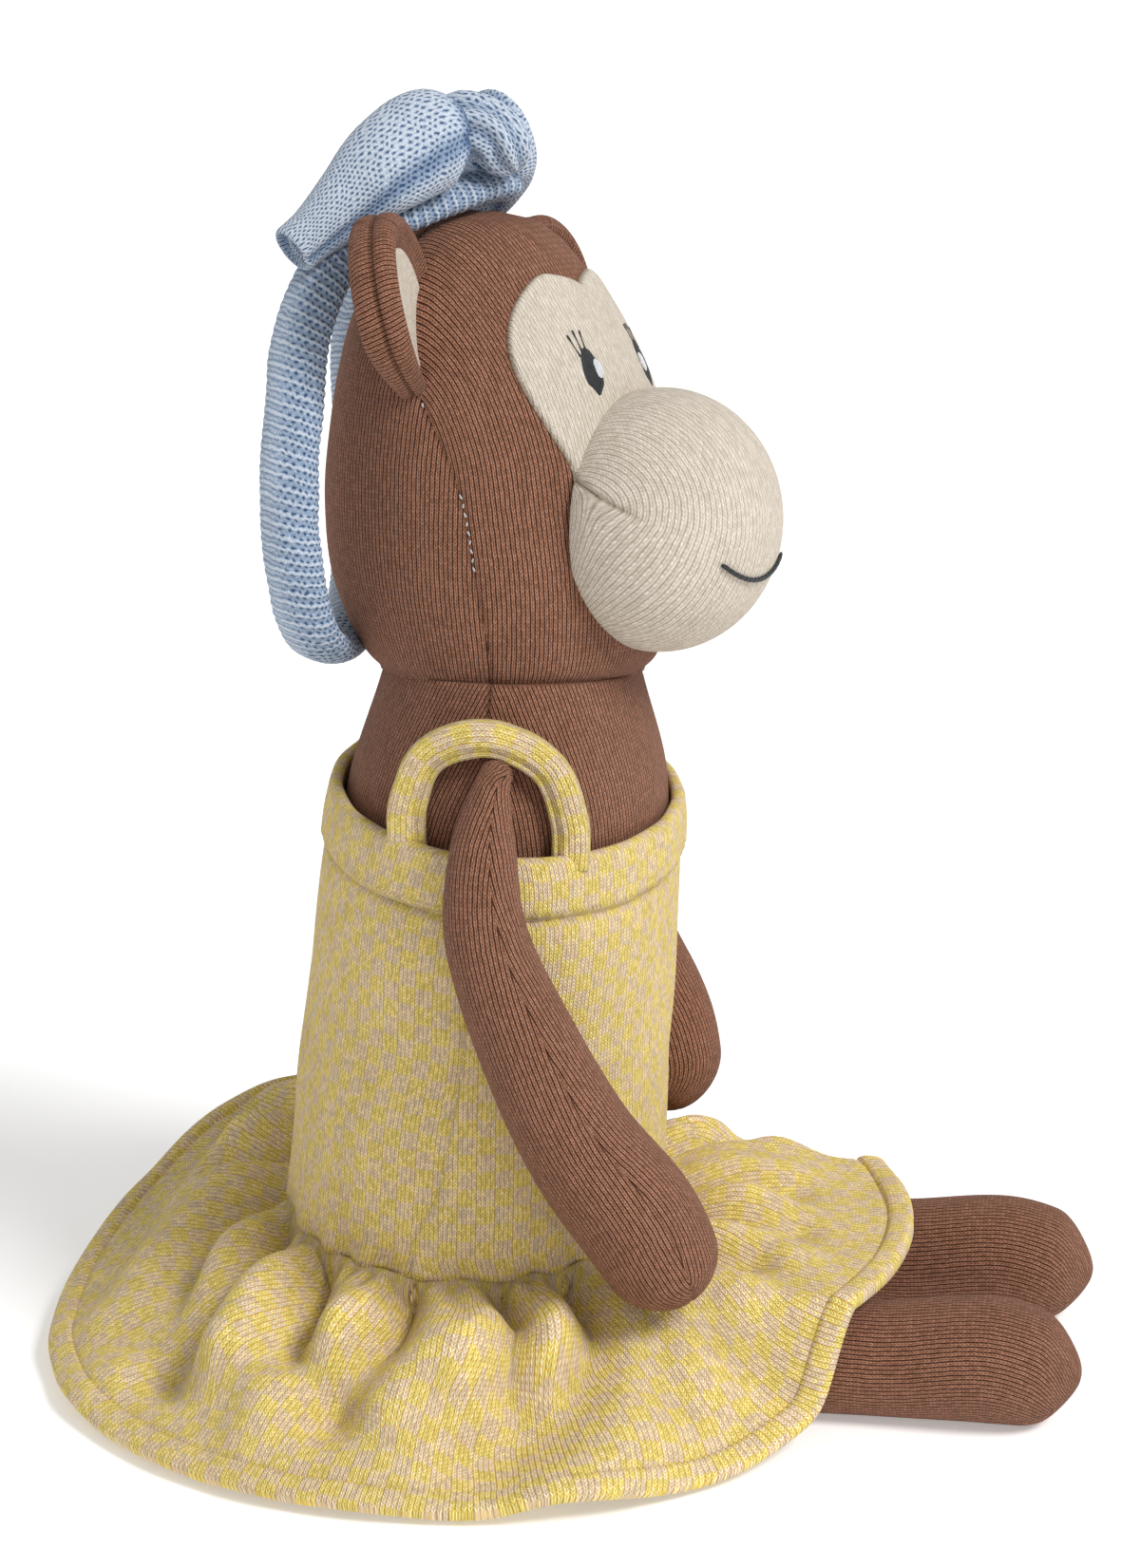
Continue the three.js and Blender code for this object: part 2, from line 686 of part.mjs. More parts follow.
// An arm hangs from its pinched root, passes outside the dress and bends forward over the skirt.
// Lap is 1 where the hand reaches furthest forward; a hand further back lies higher and wider.
function buildArm(side, name, lap) {
  const chest = torsoAt(shoulderHeight);
  const root = chest.halfWidth;
  const outside = chestHalfWidth + easeAtNeckline + hemThickness + touchGap;
  const y = armLine;
  const hang = outside + armRadius + 1.5;
  const inset = handInset * lap;
  const forward = handForward * lap;
  const low = handHeight + handRise * (1 - lap);
  const stations = [
    [root - armRootDepth, y, shoulderHeight, armRootRadius, armRootRadius],
    [root + 8, y, shoulderHeight, armRootRadius, armRootRadius],
    [outside + 1, y, shoulderHeight - 2.5, 5.5, 5.5],
    [hang - 3.2, y + 0.5, shoulderHeight - 14, 7.6, 0.85 * armRadius],
    [hang, y, shoulderHeight - 31, 0.95 * armRadius, armRadius],
    [hang + 0.5, y - 5 * lap, elbowHeight + 6, armRadius + 0.5, armRadius + 0.8],
    [hang - 0.1 * inset, y - 0.36 * forward, 0.6 * elbowHeight + 0.4 * low, armRadius + 2.5, armRadius + 3.2],
    [hang - 0.5 * inset, y - 0.6 * forward, 0.22 * elbowHeight + 0.78 * low + 6, handRadius - 1, handRadius + 0.3],
    [hang - inset, y - 0.76 * forward, low, 0.8 * handRadius, 0.85 * handRadius],
  ].map(([x, ...rest]) => [side * x, ...rest]);
  const options = { sides: 12, rings: 20, reference: point(1, 0.2, 0), roundEnd: handRadius };
  const arm = stuffedTube(stations, options);
  addPiece(doll, name, arm, 'brown');
}

// A leg lies forward on the floor, flat underneath, with a slim ankle and a full foot
function buildLeg(side, name) {
  const toe = footReach - legForward;
  const station = (forward, radius) => [side * legSpread, -legForward - forward, radius - flatDepth, radius, radius];
  const stations = [
    station(-legRadius, legRadius), station(0, legRadius), station(0.28 * toe, legRadius + 0.6),
    station(0.56 * toe, ankleRadius), station(0.8 * toe, footRadius), station(0.93 * toe, 0.87 * footRadius),
    [side * legSpread, -footReach, 0.78 * footRadius, 0.6 * footRadius, 0.6 * footRadius],
  ];
  const leg = stuffedTube(stations, {
    sides: 12, rings: 16, reference: point(1, 0, 0), roundStart: legRadius, roundEnd: 0.8 * footRadius,
  });
  const below = new THREE.BoxGeometry(200, 400, 40);
  below.translate(0, -legForward, -20);
  addPiece(doll, name, cut(leg, below), 'brown');
}

// The headband and its bow lean aside with the head
function leaning([x, y, z, ...size]) {
  return [x + Math.tan(radians(headLeanDegrees)) * (z - neckHeight), y, z, ...size];
}

// The headband goes over the crown under the knot, behind both ears and round the nape
function bandGeometry(grow) {
  const high = knotHeight - 10;
  const half = (side, leads) => [
    [side * 0.28 * bandHalfWidth, leads[0] * bandSetBack, high - 2],
    [side * 0.54 * bandHalfWidth, leads[1] * bandSetBack, high - 8],
    [side * 0.8 * bandHalfWidth, leads[2] * bandSetBack, high - 24],
    [side * 0.97 * bandHalfWidth, bandSetBack, high - 48],
    [side * bandHalfWidth, bandSetBack, high - 76],
    [side * 0.78 * bandHalfWidth, 0.93 * bandSetBack, bandDrop + 14],
    [side * 0.4 * bandHalfWidth, 0.88 * bandSetBack, bandDrop + 3],
  ];
  const crown = [0.5, 0.1 * bandSetBack, high];
  const nape = [0, 0.87 * bandSetBack, bandDrop];
  const places = [crown, ...half(1, [0, 0.32, 0.7]), nape, ...half(-1, [0.38, 0.76, 0.96]).reverse()];
  const [wide, thick] = [0.5 * bandWidth + grow, 0.5 * bandThickness + grow];
  const stations = places.map((place) => leaning([...place, wide, thick]));
  return stuffedTube(stations, { sides: 10, rings: 36, reference: point(0, 1, 0), closed: true });
}

function buildHeadband() {
  addPiece(doll, 'headband', cut(bandGeometry(0), inHeadFrame(headGeometry(touchGap))), 'blue');
}

// The knot that ties the bow, on the crown over the band
function knotGeometry(grow) {
  const stations = [[-3, -8, -5, 8, 6], [-4, -3, 4, 11, 7.5], [-4, 5, 7, 12, 8.5], [-3, 13, 3, 10.5, 7.5]]
    .map(([x, y, rise, wide, thick]) => leaning([x, y, knotHeight + rise, wide + grow, thick + grow]));
  return stuffedTube(stations, { sides: 10, rings: 9, reference: point(1, 0, 0), roundStart: 7, roundEnd: 7 });
}

// A wing hangs back on the right and a smaller one on the left; both tuck under the knot
function buildBow() {
  const crown = inHeadFrame(headGeometry(touchGap));
  const band = bandGeometry(touchGap);
  addPiece(doll, 'bow_knot', cut(knotGeometry(0), crown, band), 'blue');
  const wing = (name, places, options) => {
    const stations = places.map(([x, y, rise, wide, thick]) => leaning([x, y, knotHeight + rise, wide, thick]));
    addPiece(doll, name, cut(stuffedTube(stations, options), crown, band, knotGeometry(2 * touchGap)), 'blue');
  };
  wing('bow_right_wing', [
    [-9, 4, 5, 9, 7.5], [-16, 11, 6, 13, 8.5], [-25, 21, 1, 12.5, 7.5],
    [-31, 30, -7, 9.5, 6.5], [-36, 39, -15, 7, 6], [-38, 44, -19, 6.5, 5.5],
  ], { sides: 12, rings: 13, reference: point(0.25, 0.5, 1), roundStart: 6, roundEnd: 4 });
  wing('bow_left_wing', [
    [3, 1, 1, 9, 7.5], [12, -1, 1, 12.5, 8], [22, 0, -6, 11.5, 7.5],
    [30, 3, -15, 8.5, 6.5], [35, 8, -23, 6.5, 5.5],
  ], { sides: 12, rings: 11, reference: point(-0.2, 0.4, 1), roundStart: 6, roundEnd: 5 });
}

buildTorso();
addPiece(head, 'head', headGeometry(0), 'brown');
buildFacePatch();
buildMuzzle();
buildSmile();
buildBodice();
buildNeckHem();
buildSkirt();
buildSkirtHem();
[[-1, 'right'], [1, 'left']].forEach(([side, name]) => {
  buildEye(side, name);
  buildEar(side, name);
  buildStrap(side, `${name}_strap`);
  buildLeg(side, `${name}_leg`);
});
buildArm(-1, 'right_arm', 1);
buildArm(1, 'left_arm', 0.7);
buildHeadband();
buildBow();

export default doll;
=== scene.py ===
import math
import bpy
import numpy as np
from mathutils import Matrix, Vector


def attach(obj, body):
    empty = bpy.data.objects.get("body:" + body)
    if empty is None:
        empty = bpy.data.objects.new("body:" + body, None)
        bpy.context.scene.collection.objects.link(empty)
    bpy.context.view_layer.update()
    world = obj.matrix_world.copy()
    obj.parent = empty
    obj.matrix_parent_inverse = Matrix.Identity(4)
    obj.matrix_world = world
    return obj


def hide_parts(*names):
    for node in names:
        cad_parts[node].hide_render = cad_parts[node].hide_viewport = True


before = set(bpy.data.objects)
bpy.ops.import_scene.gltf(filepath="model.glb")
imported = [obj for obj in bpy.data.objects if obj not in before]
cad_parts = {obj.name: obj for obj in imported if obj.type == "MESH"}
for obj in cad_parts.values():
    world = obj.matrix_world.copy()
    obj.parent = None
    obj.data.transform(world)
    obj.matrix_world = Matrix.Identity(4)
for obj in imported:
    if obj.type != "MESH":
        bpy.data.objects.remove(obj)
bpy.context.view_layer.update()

# Lengths are millimetres until a mesh is made
MM = 0.001
CIRCLE = 2 * math.pi
GAP = 0.3

# Knit gauge: a stitch's width and height, and the sizes of the dress's checks in stitches
WALE, COURSE, STITCH_SLANT = 1.22, 0.98, 0.85
CHECK_WALES, CHECK_COURSES = 4, 5
PURL_STITCH, PURL_ROW, PURL_ARCH = 1.9, 0.98, 0.2
THREAD = 0.42

# Torso and neck: rows of [height, half width, half depth, middle]
WAIST, NECKLINE, NECK, LEAN = 43.0, 160.0, 192.5, 10.0
TORSO_ROWS = [
    [0, 32, 26, 0], [4, 43.7, 35.7, 0], [14, 51.5, 42.8, 0], [43, 56, 47, 0],
    [101.5, 54, 45, -3.5], [160, 51, 42, -8.5], [192.5, 38.5, 33.5, -10], [206.5, 35.8, 31.2, -10],
]

# Dress
WAIST_EASE, NECKLINE_EASE = 0.6, 4.6
CLOTH, HEM_CLOTH, NECK_HEM = 2.6, 3.6, 16.0
NECKLINE_TILT = math.radians(4.6)

# Head: rows of [share of the height, of the half width, of the half depth, of the set-back]
HEAD_LEAN, HEAD_TURN = math.radians(10), math.radians(-18)
HEAD_HEIGHT, HEAD_WIDE, HEAD_DEEP, HEAD_BACK = 118.0, 47.0, 43.5, 6.0
HEAD_ROWS = [
    [0, 0.8, 0.78, 0], [0.035, 0.835, 0.875, 0.1], [0.1, 0.885, 0.96, 0.35], [0.21, 0.95, 1.02, 0.7],
    [0.36, 0.99, 1.02, 0.95], [0.5, 1, 0.98, 1.05], [0.66, 0.96, 0.865, 1.4], [0.8, 0.83, 0.7, 1.84],
    [0.91, 0.61, 0.51, 2], [0.975, 0.35, 0.3, 1.95], [0.997, 0.1, 0.09, 1.95],
]


# Numbers and grids

def unit(vectors):
    return vectors / np.maximum(np.linalg.norm(vectors, axis=-1, keepdims=True), 1e-9)


def smooth_step(low, high, value):
    share = np.clip((np.asarray(value, float) - low) / (high - low), 0, 1)
    return share * share * (3 - 2 * share)


def bell(value, width):
    """1 where the value is 0, and nearly nothing at twice the width"""
    return np.exp(-(value / width) ** 2)


def smooth_rows(rows, position):
    """Values of the smooth curves through rows of [position, value, ...], held level past the ends"""
    rows = np.asarray(rows, float)
    last = len(rows) - 1
    x = np.clip(np.asarray(position, float), rows[0, 0], rows[last, 0])
    i = np.clip(np.searchsorted(rows[:, 0], x, side="right") - 1, 0, last - 1)

    def slope(k):
        before, after = np.maximum(k - 1, 0), np.minimum(k + 1, last)
        return (rows[after] - rows[before])[..., 1:] / (rows[after, 0] - rows[before, 0])[..., None]

    step = (rows[i + 1, 0] - rows[i, 0])[..., None]
    u = (x - rows[i, 0])[..., None] / step
    return (rows[i, 1:] * (1 + 2 * u) * (1 - u) ** 2 + rows[i + 1, 1:] * u * u * (3 - 2 * u)
            + step * slope(i) * u * (1 - u) ** 2 - step * slope(i + 1) * u * u * (1 - u))


def ring(columns):
    """Angles once round, in one row"""
    return (np.arange(columns) * CIRCLE / columns)[None, :]


def length_along(line):
    return np.concatenate([[0], np.cumsum(np.linalg.norm(np.diff(line, axis=0), axis=1))])


def rotation(axis, angle):
    return np.array(Matrix.Rotation(angle, 3, axis))


def along_skin(vectors, normals):
    """Directions of the vectors once they are laid in the skin"""
    return unit(vectors - (vectors * normals).sum(-1)[..., None] * normals)


def grid_normals(points):
    normals = unit(np.cross(np.roll(points, -1, 1) - np.roll(points, 1, 1), np.gradient(points, axis=0)))
    outwards = ((points - points.reshape(-1, 3).mean(0)) * normals).sum()
    return normals if outwards > 0 else -normals


def raised(points, height):
    return points + grid_normals(points) * height[..., None]


def noise(points, size, seed):
    """Smooth noise from -1 to 1 with features of about that size"""
    places = np.asarray(points, float) / size
    total = np.zeros(places.shape[:-1])
    source = np.random.default_rng(seed)
    for _ in range(6):
        direction = unit(source.normal(size=3))
        phase = source.uniform(0, CIRCLE)
        twist = unit(source.normal(size=3))
        total += np.sin(CIRCLE * (places @ direction) * source.uniform(0.6, 1.3) + phase
                        + 1.5 * np.sin(CIRCLE * 0.6 * (places @ twist)))
    return total / 6


def potential(points, wanted, start, across=1.0, steps=260):
    """The number at each grid point whose slope is closest to the wanted vectors, by conjugate gradients.
    across holds a weight for each edge to the next column."""
    def later(values):
        return np.pad(values, ((1, 0), (0, 0)))

    def earlier(values):
        return np.pad(values, ((0, 1), (0, 0)))

    down_edge, side_edge = np.diff(points, axis=0), np.roll(points, -1, 1) - points
    down_length, side_length = (np.linalg.norm(edge, axis=-1) + 1e-6 for edge in (down_edge, side_edge))
    down_weight = 0.5 * (side_length[1:] + side_length[:-1]) / down_length
    spread = 0.5 * (down_length + np.roll(down_length, -1, 1))
    side_weight = (later(spread) + earlier(spread)) / side_length * across
    down_wish = (0.5 * (wanted[1:] + wanted[:-1]) * down_edge).sum(-1)
    side_wish = (0.5 * (wanted + np.roll(wanted, -1, 1)) * side_edge).sum(-1)

    def gather(down, side):
        down, side = down_weight * down, side_weight * side
        return later(down) - earlier(down) + np.roll(side, 1, 1) - side

    def apply(value):
        return gather(np.diff(value, axis=0), np.roll(value, -1, 1) - value)

    diagonal = 1e-9 + later(down_weight) + earlier(down_weight) + side_weight + np.roll(side_weight, 1, 1)
    value = start.astype(float)
    rest = gather(down_wish, side_wish) - apply(value)
    heading = rest / diagonal
    energy = (rest * heading).sum()
    for _ in range(steps):
        moved = apply(heading)
        rate = energy / max((heading * moved).sum(), 1e-12)
        value = value + rate * heading
        rest = rest - rate * moved
        new_energy = (rest * rest / diagonal).sum()
        heading = rest / diagonal + new_energy / max(energy, 1e-12) * heading
        energy = new_energy
    return value


# Skins and pieces

def skin(points, maps, numbers, loop_rows=False):
    """A closed skin from rows and columns of points: places, faces, and maps and numbers by their names.
    The rows close to a loop, or the first and the last get a cap."""
    rows, columns, _ = points.shape
    count = rows * columns
    row = np.arange(rows if loop_rows else rows - 1)[:, None] * columns
    here = np.arange(columns)[None, :]
    beside, below = (here + 1) % columns, (row + columns) % count
    faces = np.stack([row + here, row + beside, below + beside, below + here], -1).reshape(-1, 4).tolist()
    if not loop_rows:
        last = count - columns
        faces += [[count, (k + 1) % columns, k] for k in range(columns)]
        faces += [[count + 1, last + k, last + (k + 1) % columns] for k in range(columns)]

    def listed(values, width):
        values = np.broadcast_to(values, (rows, columns, width))
        ends = [] if loop_rows else [values[0].mean(0)[None], values[-1].mean(0)[None]]
        return np.concatenate([values.reshape(-1, width), *ends])

    places = listed(points, 3)
    a, b, c, d = (places[[face[k] for face in faces]] for k in (0, 1, 2, -1))
    if (a * (np.cross(b, c) + np.cross(c, d))).sum() < 0:
        faces = [face[:1] + face[:0:-1] for face in faces]
    maps = {key: listed(value, 2) for key, value in maps.items()}
    numbers = {key: listed(np.asarray(value, float)[..., None], 1) for key, value in numbers.items()}
    return places, faces, maps, numbers


def piece(name, skins, material, body, node=None):
    """An object made of skins."""
    starts = np.cumsum([0] + [len(part[0]) for part in skins]).tolist()
    places = np.concatenate([part[0] for part in skins]) * MM
    faces = [[start + k for k in face] for start, part in zip(starts, skins) for face in part[1]]
    mesh = bpy.data.meshes.new(name)
    mesh.from_pydata(places.tolist(), [], faces)
    corners = np.zeros(len(mesh.loops), np.int64)
    mesh.loops.foreach_get("vertex_index", corners)
    for key in skins[0][2]:
        values = np.concatenate([part[2][key] for part in skins])[corners].astype(np.float32)
        mesh.uv_layers.new(name=key).data.foreach_set("uv", values.ravel())
    for key in skins[0][3]:
        values = np.concatenate([part[3][key] for part in skins]).astype(np.float32)
        mesh.attributes.new(key, "FLOAT", "POINT").data.foreach_set("value", values.ravel())
    mesh.shade_smooth()
    mesh.validate()
    mesh.materials.append(material)
    thing = bpy.data.objects.new(name, mesh)
    bpy.context.scene.collection.objects.link(thing)
    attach(thing, body)
    if node:
        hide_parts(node)
    return thing


# Curves and tubes

def spline(points, closed=False, per_span=60):
    """Dense points of the centripetal curve through the points, with each one's place in spans"""
    points = np.asarray(points, float)
    count = len(points)
    spans = count if closed else count - 1
    u = np.linspace(0, 1, per_span, endpoint=False)[:, None]
    found = []
    for i in range(spans):
        p1, p2 = points[i], points[(i + 1) % count]
        p0 = points[i - 1] if closed or i > 0 else 2 * points[0] - points[1]
        p3 = points[(i + 2) % count] if closed or i + 2 < count else 2 * points[-1] - points[-2]
        d0, d1, d2 = (max(np.linalg.norm(b - a) ** 0.5, 1e-4) for a, b in ((p0, p1), (p1, p2), (p2, p3)))
        t1 = ((p1 - p0) / d0 - (p2 - p0) / (d0 + d1) + (p2 - p1) / d1) * d1
        t2 = ((p2 - p1) / d1 - (p3 - p1) / (d1 + d2) + (p3 - p2) / d2) * d1
        found.append(p1 + t1 * u + (-3 * p1 + 3 * p2 - 2 * t1 - t2) * u ** 2
                     + (2 * p1 - 2 * p2 + t1 + t2) * u ** 3)
    line = np.concatenate(found + [points[:1] if closed else points[-1:]])
    return line, np.linspace(0, spans, len(line))


def end_runs(rounding, step):
    """Lengths from a tube's rounded end, closer together towards the tip"""
    if rounding == 0:
        return np.zeros(0)
    angle = np.linspace(0.05, math.pi / 2, max(4, int(1.6 * rounding / step)), endpoint=False)
    return rounding * (1 - np.cos(angle))


class Tube:
    """A stuffed tube through stations of [x, y, z, half width, half thickness]. The reference is the side
    that the width points to, or a function that gives it at places."""

    def __init__(self, stations, sides, step, reference, round_start=0, round_end=0, closed=False):
        stations = np.asarray(stations, float)
        line, spans = spline(stations[:, :3], closed)
        if closed:
            stations = np.vstack([stations, stations[:1]])
        run = length_along(line)
        self.length = run[-1]
        if closed:
            self.run = np.linspace(0, self.length, int(self.length / step), endpoint=False)
        else:
            count = max(2, int((self.length - round_start - round_end) / step))
            flat = np.linspace(round_start, self.length - round_end, count)
            self.run = np.concatenate([end_runs(round_start, step), flat,
                                       self.length - end_runs(round_end, step)[::-1]])

        def at(places):
            return np.column_stack([np.interp(places, run, line[:, k]) for k in range(3)])

        self.middle = at(self.run)
        self.tangent = unit(np.roll(self.middle, -1, 0) - np.roll(self.middle, 1, 0) if closed
                            else at(self.run + 0.5) - at(self.run - 0.5))
        rows = np.column_stack([np.arange(len(stations)), stations[:, 3:]])
        self.wide, self.thick = smooth_rows(rows, np.interp(self.run, run, spans)).T
        self.scale = np.ones(len(self.run))
        for rounding, away in ((round_start, self.run), (round_end, self.length - self.run)):
            if rounding > 0:
                self.scale *= np.sqrt(np.maximum(0.0025, 1 - np.maximum(0, 1 - away / rounding) ** 2))
        side = reference(self.middle) if callable(reference) else np.asarray(reference) + 0 * self.middle
        self.side = along_skin(side, self.tangent)
        self.up = np.cross(self.tangent, self.side)
        self.radius = (0.5 * (self.wide + self.thick) * self.scale)[:, None]
        self.turn = ring(sides) + 0 * self.run[:, None]
        self.along = self.run[:, None] + 0 * self.turn

    def points(self, wide=1.0, thick=1.0):
        a = (self.wide * self.scale)[:, None] * wide * np.cos(self.turn)
        b = (self.thick * self.scale)[:, None] * thick * np.sin(self.turn)
        return self.middle[:, None] + a[..., None] * self.side[:, None] + b[..., None] * self.up[:, None]


# Materials

def colour(*levels):
    """A colour given from 0 to 255 on the usual screen scale"""
    shares = [level / 255 for level in levels]
    return (*(s / 12.92 if s <= 0.04045 else ((s + 0.055) / 1.055) ** 2.4 for s in shares), 1.0)


def sign(operation, swapped=False):
    """A method that makes the node for a sign such as plus"""
    def work(value, other):
        return value.shader.math(operation, *((other, value) if swapped else (value, other)))
    return work


class Value:
    """An output of a material's node, to reckon with like a number"""

    __add__ = __radd__ = sign("ADD")
    __mul__ = __rmul__ = sign("MULTIPLY")
    __sub__, __rsub__ = sign("SUBTRACT"), sign("SUBTRACT", swapped=True)
    __truediv__, __pow__, __mod__ = sign("DIVIDE"), sign("POWER"), sign("FLOORED_MODULO")

    def __init__(self, shader, socket):
        self.shader, self.socket = shader, socket

    def do(self, operation, *others):
        return self.shader.math(operation, self, *others)


class Shader:
    """A material with short calls for its nodes"""

    def __init__(self, name):
        self.material = bpy.data.materials.new(name)
        self.material.use_nodes = True
        self.tree = self.material.node_tree
        self.tree.nodes.clear()

    def add(self, kind, feeds, output=0, **settings):
        """Adds a node with its settings and what feeds its sockets, and gives one of its outputs"""
        node = self.tree.nodes.new(kind)
        for key, value in settings.items():
            setattr(node, key, value)
        for key, value in feeds.items():
            if isinstance(value, Value):
                self.tree.links.new(value.socket, node.inputs[key])
            else:
                node.inputs[key].default_value = value
        return Value(self, node.outputs[output]) if node.outputs else None

    def math(self, operation, *values):
        return self.add("ShaderNodeMath", dict(enumerate(values)), operation=operation)

    def fit(self, value, from_low, from_high, to_low=0.0, to_high=1.0):
        return self.add("ShaderNodeMapRange", {"Value": value, "From Min": from_low, "From Max": from_high,
                                               "To Min": to_low, "To Max": to_high},
                        "Result", interpolation_type="SMOOTHSTEP")

    def mix(self, share, first, second, blend="MIX"):
        feeds = {0: share, 6: first, 7: second}
        return self.add("ShaderNodeMix", feeds, 2, data_type="RGBA", blend_type=blend)

    def tinted(self, base, tone_and_shade, green=1.0, blue=1.0):
        """The colour times the tone and painted shade. Powers over 1 make the dark warmer."""
        tint = self.add("ShaderNodeCombineColor", {0: tone_and_shade, 1: tone_and_shade ** green, 2: tone_and_shade ** blue})
        return self.mix(1.0, base, tint, "MULTIPLY")

    def number(self, name):
        return self.add("ShaderNodeAttribute", {}, "Fac", attribute_name=name)

    def map_place(self, two_panels):
        """The map's two directions. With two panels, the seam's number says which map a point takes."""
        place = self.add("ShaderNodeUVMap", {}, "UV", uv_map="front")
        if two_panels:
            back = self.add("ShaderNodeUVMap", {}, "UV", uv_map="back")
            in_front = self.number("seam").do("GREATER_THAN", 0.0)
            place = self.add("ShaderNodeMix", {0: in_front, 4: back, 5: place}, 1, data_type="VECTOR")
        return [self.add("ShaderNodeSeparateXYZ", {"Vector": place}, k) for k in (0, 1)]

    def noise(self, scale, detail=2.0, seed=0.0):
        place = self.add("ShaderNodeTexCoord", {}, "Object")
        moved = self.add("ShaderNodeVectorMath", {0: place, 1: (seed, 0.37 * seed, -seed)}, operation="ADD")
        return self.add("ShaderNodeTexNoise", {"Vector": moved, "Scale": scale, "Detail": detail}, "Fac")

    def finish(self, base, height, bump_height, rough=0.92, sheen=0.12, specular=0.2):
        bump = self.add("ShaderNodeBump", {"Height": height, "Distance": bump_height * MM, "Strength": 1.0})
        surface = self.add("ShaderNodeBsdfPrincipled", {
            "Base Color": base, "Roughness": rough, "Normal": bump, "Specular IOR Level": specular,
            "Sheen Weight": sheen, "Sheen Roughness": 0.45})
        self.add("ShaderNodeOutputMaterial", {"Surface": surface})
        return self.material


def knit(name, deep, middle, light, wale=WALE, course=COURSE, two_panels=True, relief=0.3, check=None,
         mottle=0.16, rounding=0.4, between=0.08, fleck=0.46):
    """Fine stockinette. check gives a second set of three colours in blocks of stitches."""
    shader = Shader(name)
    u, v = shader.map_place(two_panels)
    wobble = (shader.noise(300.0) - 0.5) * 0.35
    x = u / wale + wobble
    across = (x.do("FRACT") * 2.0 - 1.0).do("ABSOLUTE")
    y = v / course + wobble + across * STITCH_SLANT
    leg = y.do("FRACT") * 2.0 - 1.0
    profile = shader.fit(across, 0.5, 1.0, 1.0, between) * shader.fit(across, 0.0, 0.34, 0.6, 1.0)
    height = profile * ((1.0 - leg * leg) * rounding + (1.0 - rounding))
    stitch = shader.add("ShaderNodeCombineXYZ", {"X": (x * 2.0).do("FLOOR"), "Y": y.do("FLOOR")})
    chance = shader.add("ShaderNodeTexWhiteNoise", {"Vector": stitch}, "Value", noise_dimensions="2D")
    patches, fibre = shader.noise(90.0, 3.0, 4.0), shader.noise(2600.0, 2.0, 9.0)

    # Painted shade and highlight: the stitches' relief picks the colour, the deep one in the gaps between
    # wales and the light one on the stitch tops.
    def lit(low, mid, high, height):
        base = shader.mix(shader.fit(height, 0.0, 0.42), colour(*low), colour(*mid))
        return shader.mix(shader.fit(height, 0.42, 0.95), base, colour(*high))

    base = lit(deep, middle, light, height)
    if check:
        wales, courses = x / CHECK_WALES, y / CHECK_COURSES
        odd = (wales.do("FLOOR") + courses.do("FLOOR")) % 2.0
        odd = (odd - chance.do("GREATER_THAN", 0.87) * 0.6).do("ABSOLUTE")
        base = shader.mix(odd, base, lit(*check, height))
        place = wales.do("FRACT")
        edge = place.do("MINIMUM", 1.0 - place)
        height = height * shader.fit(edge, 0.0, 0.055, 0.86, 1.0)
        # Painted shade: the groove at each check block's side takes the deep colour.
        base = shader.mix(shader.fit(edge, 0.0, 0.06, 0.14, 0.0), base, colour(*deep))
    tone_and_shade = (patches * mottle + (1.0 - 0.5 * mottle)) * (chance * fleck + (1.0 - 0.5 * fleck))
    # Painted shade: the number read here darkens the colour in grooves, seams, folds and creases.
    tone_and_shade = tone_and_shade * (fibre * 0.4 + 0.8) * (1.0 - shader.number("pit") * 0.75)
    base = shader.tinted(base, tone_and_shade, green=1.08, blue=1.3)
    return shader.finish(base, height + fibre * 0.18, relief, sheen=0.04)


def purl(name, deep, middle, light):
    """The back of the knit: strands that arch up and down from row to row.
    The map counts stitches and rows."""
    shader = Shader(name)
    u, v = shader.map_place(False)
    wobble = (shader.noise(330.0) - 0.5) * 1.25
    x, y = u + wobble + shader.noise(120.0, 1.0, 7.0) * 1.6, v + wobble
    sense = (PURL_ARCH - y.do("FLOOR") % 2.0 * (2 * PURL_ARCH)) * (1.0 - shader.number("calm"))
    wave = (x * CIRCLE).do("COSINE") * sense
    place = y.do("FRACT")
    far = (place - wave).do("ABSOLUTE").do("MINIMUM", (place - 1.0 + wave).do("ABSOLUTE")) / 0.61
    strand = (1.0 - far * far).do("MAXIMUM", 0.0).do("SQRT")
    fibre, patches = shader.noise(2300.0, 3.0, 2.0), shader.noise(70.0, 3.0, 5.0)
    ply = ((x * 5.0 + y) * CIRCLE).do("SINE")
    # Painted shade and highlight: the strands' relief picks the colour, deep in the holes and light on the
    # strand tops, and the number read here darkens grooves and creases further.
    level = strand + (fibre - 0.54) * 0.75 + ply * 0.06 - shader.number("pit")
    base = shader.mix(shader.fit(level, 0.1, 0.62), colour(*deep), colour(*middle))
    base = shader.mix(shader.fit(level, 0.6, 1.1), base, colour(*light))
    base = shader.tinted(base, patches * 0.2 + 0.9)
    return shader.finish(base, fibre * 0.25 + strand + ply * 0.05, 0.4)


def thread(name, deep, light):
    """Embroidery thread: fine strands along the map's second direction"""
    shader = Shader(name)
    across, _ = shader.map_place(False)
    strands = (across * (CIRCLE / THREAD)).do("SINE")
    # Painted shade and highlight: the colour follows the strands' ridges, dark between threads and light on
    # their tops.
    level = shader.fit(strands, -1.0, 1.0, 0.0, 0.75) + shader.noise(2200.0, 3.0, 1.0) * 0.5
    base = shader.mix(level, colour(*deep), colour(*light))
    return shader.finish(base, level, 0.12, rough=0.55, sheen=0.15, specular=0.4)
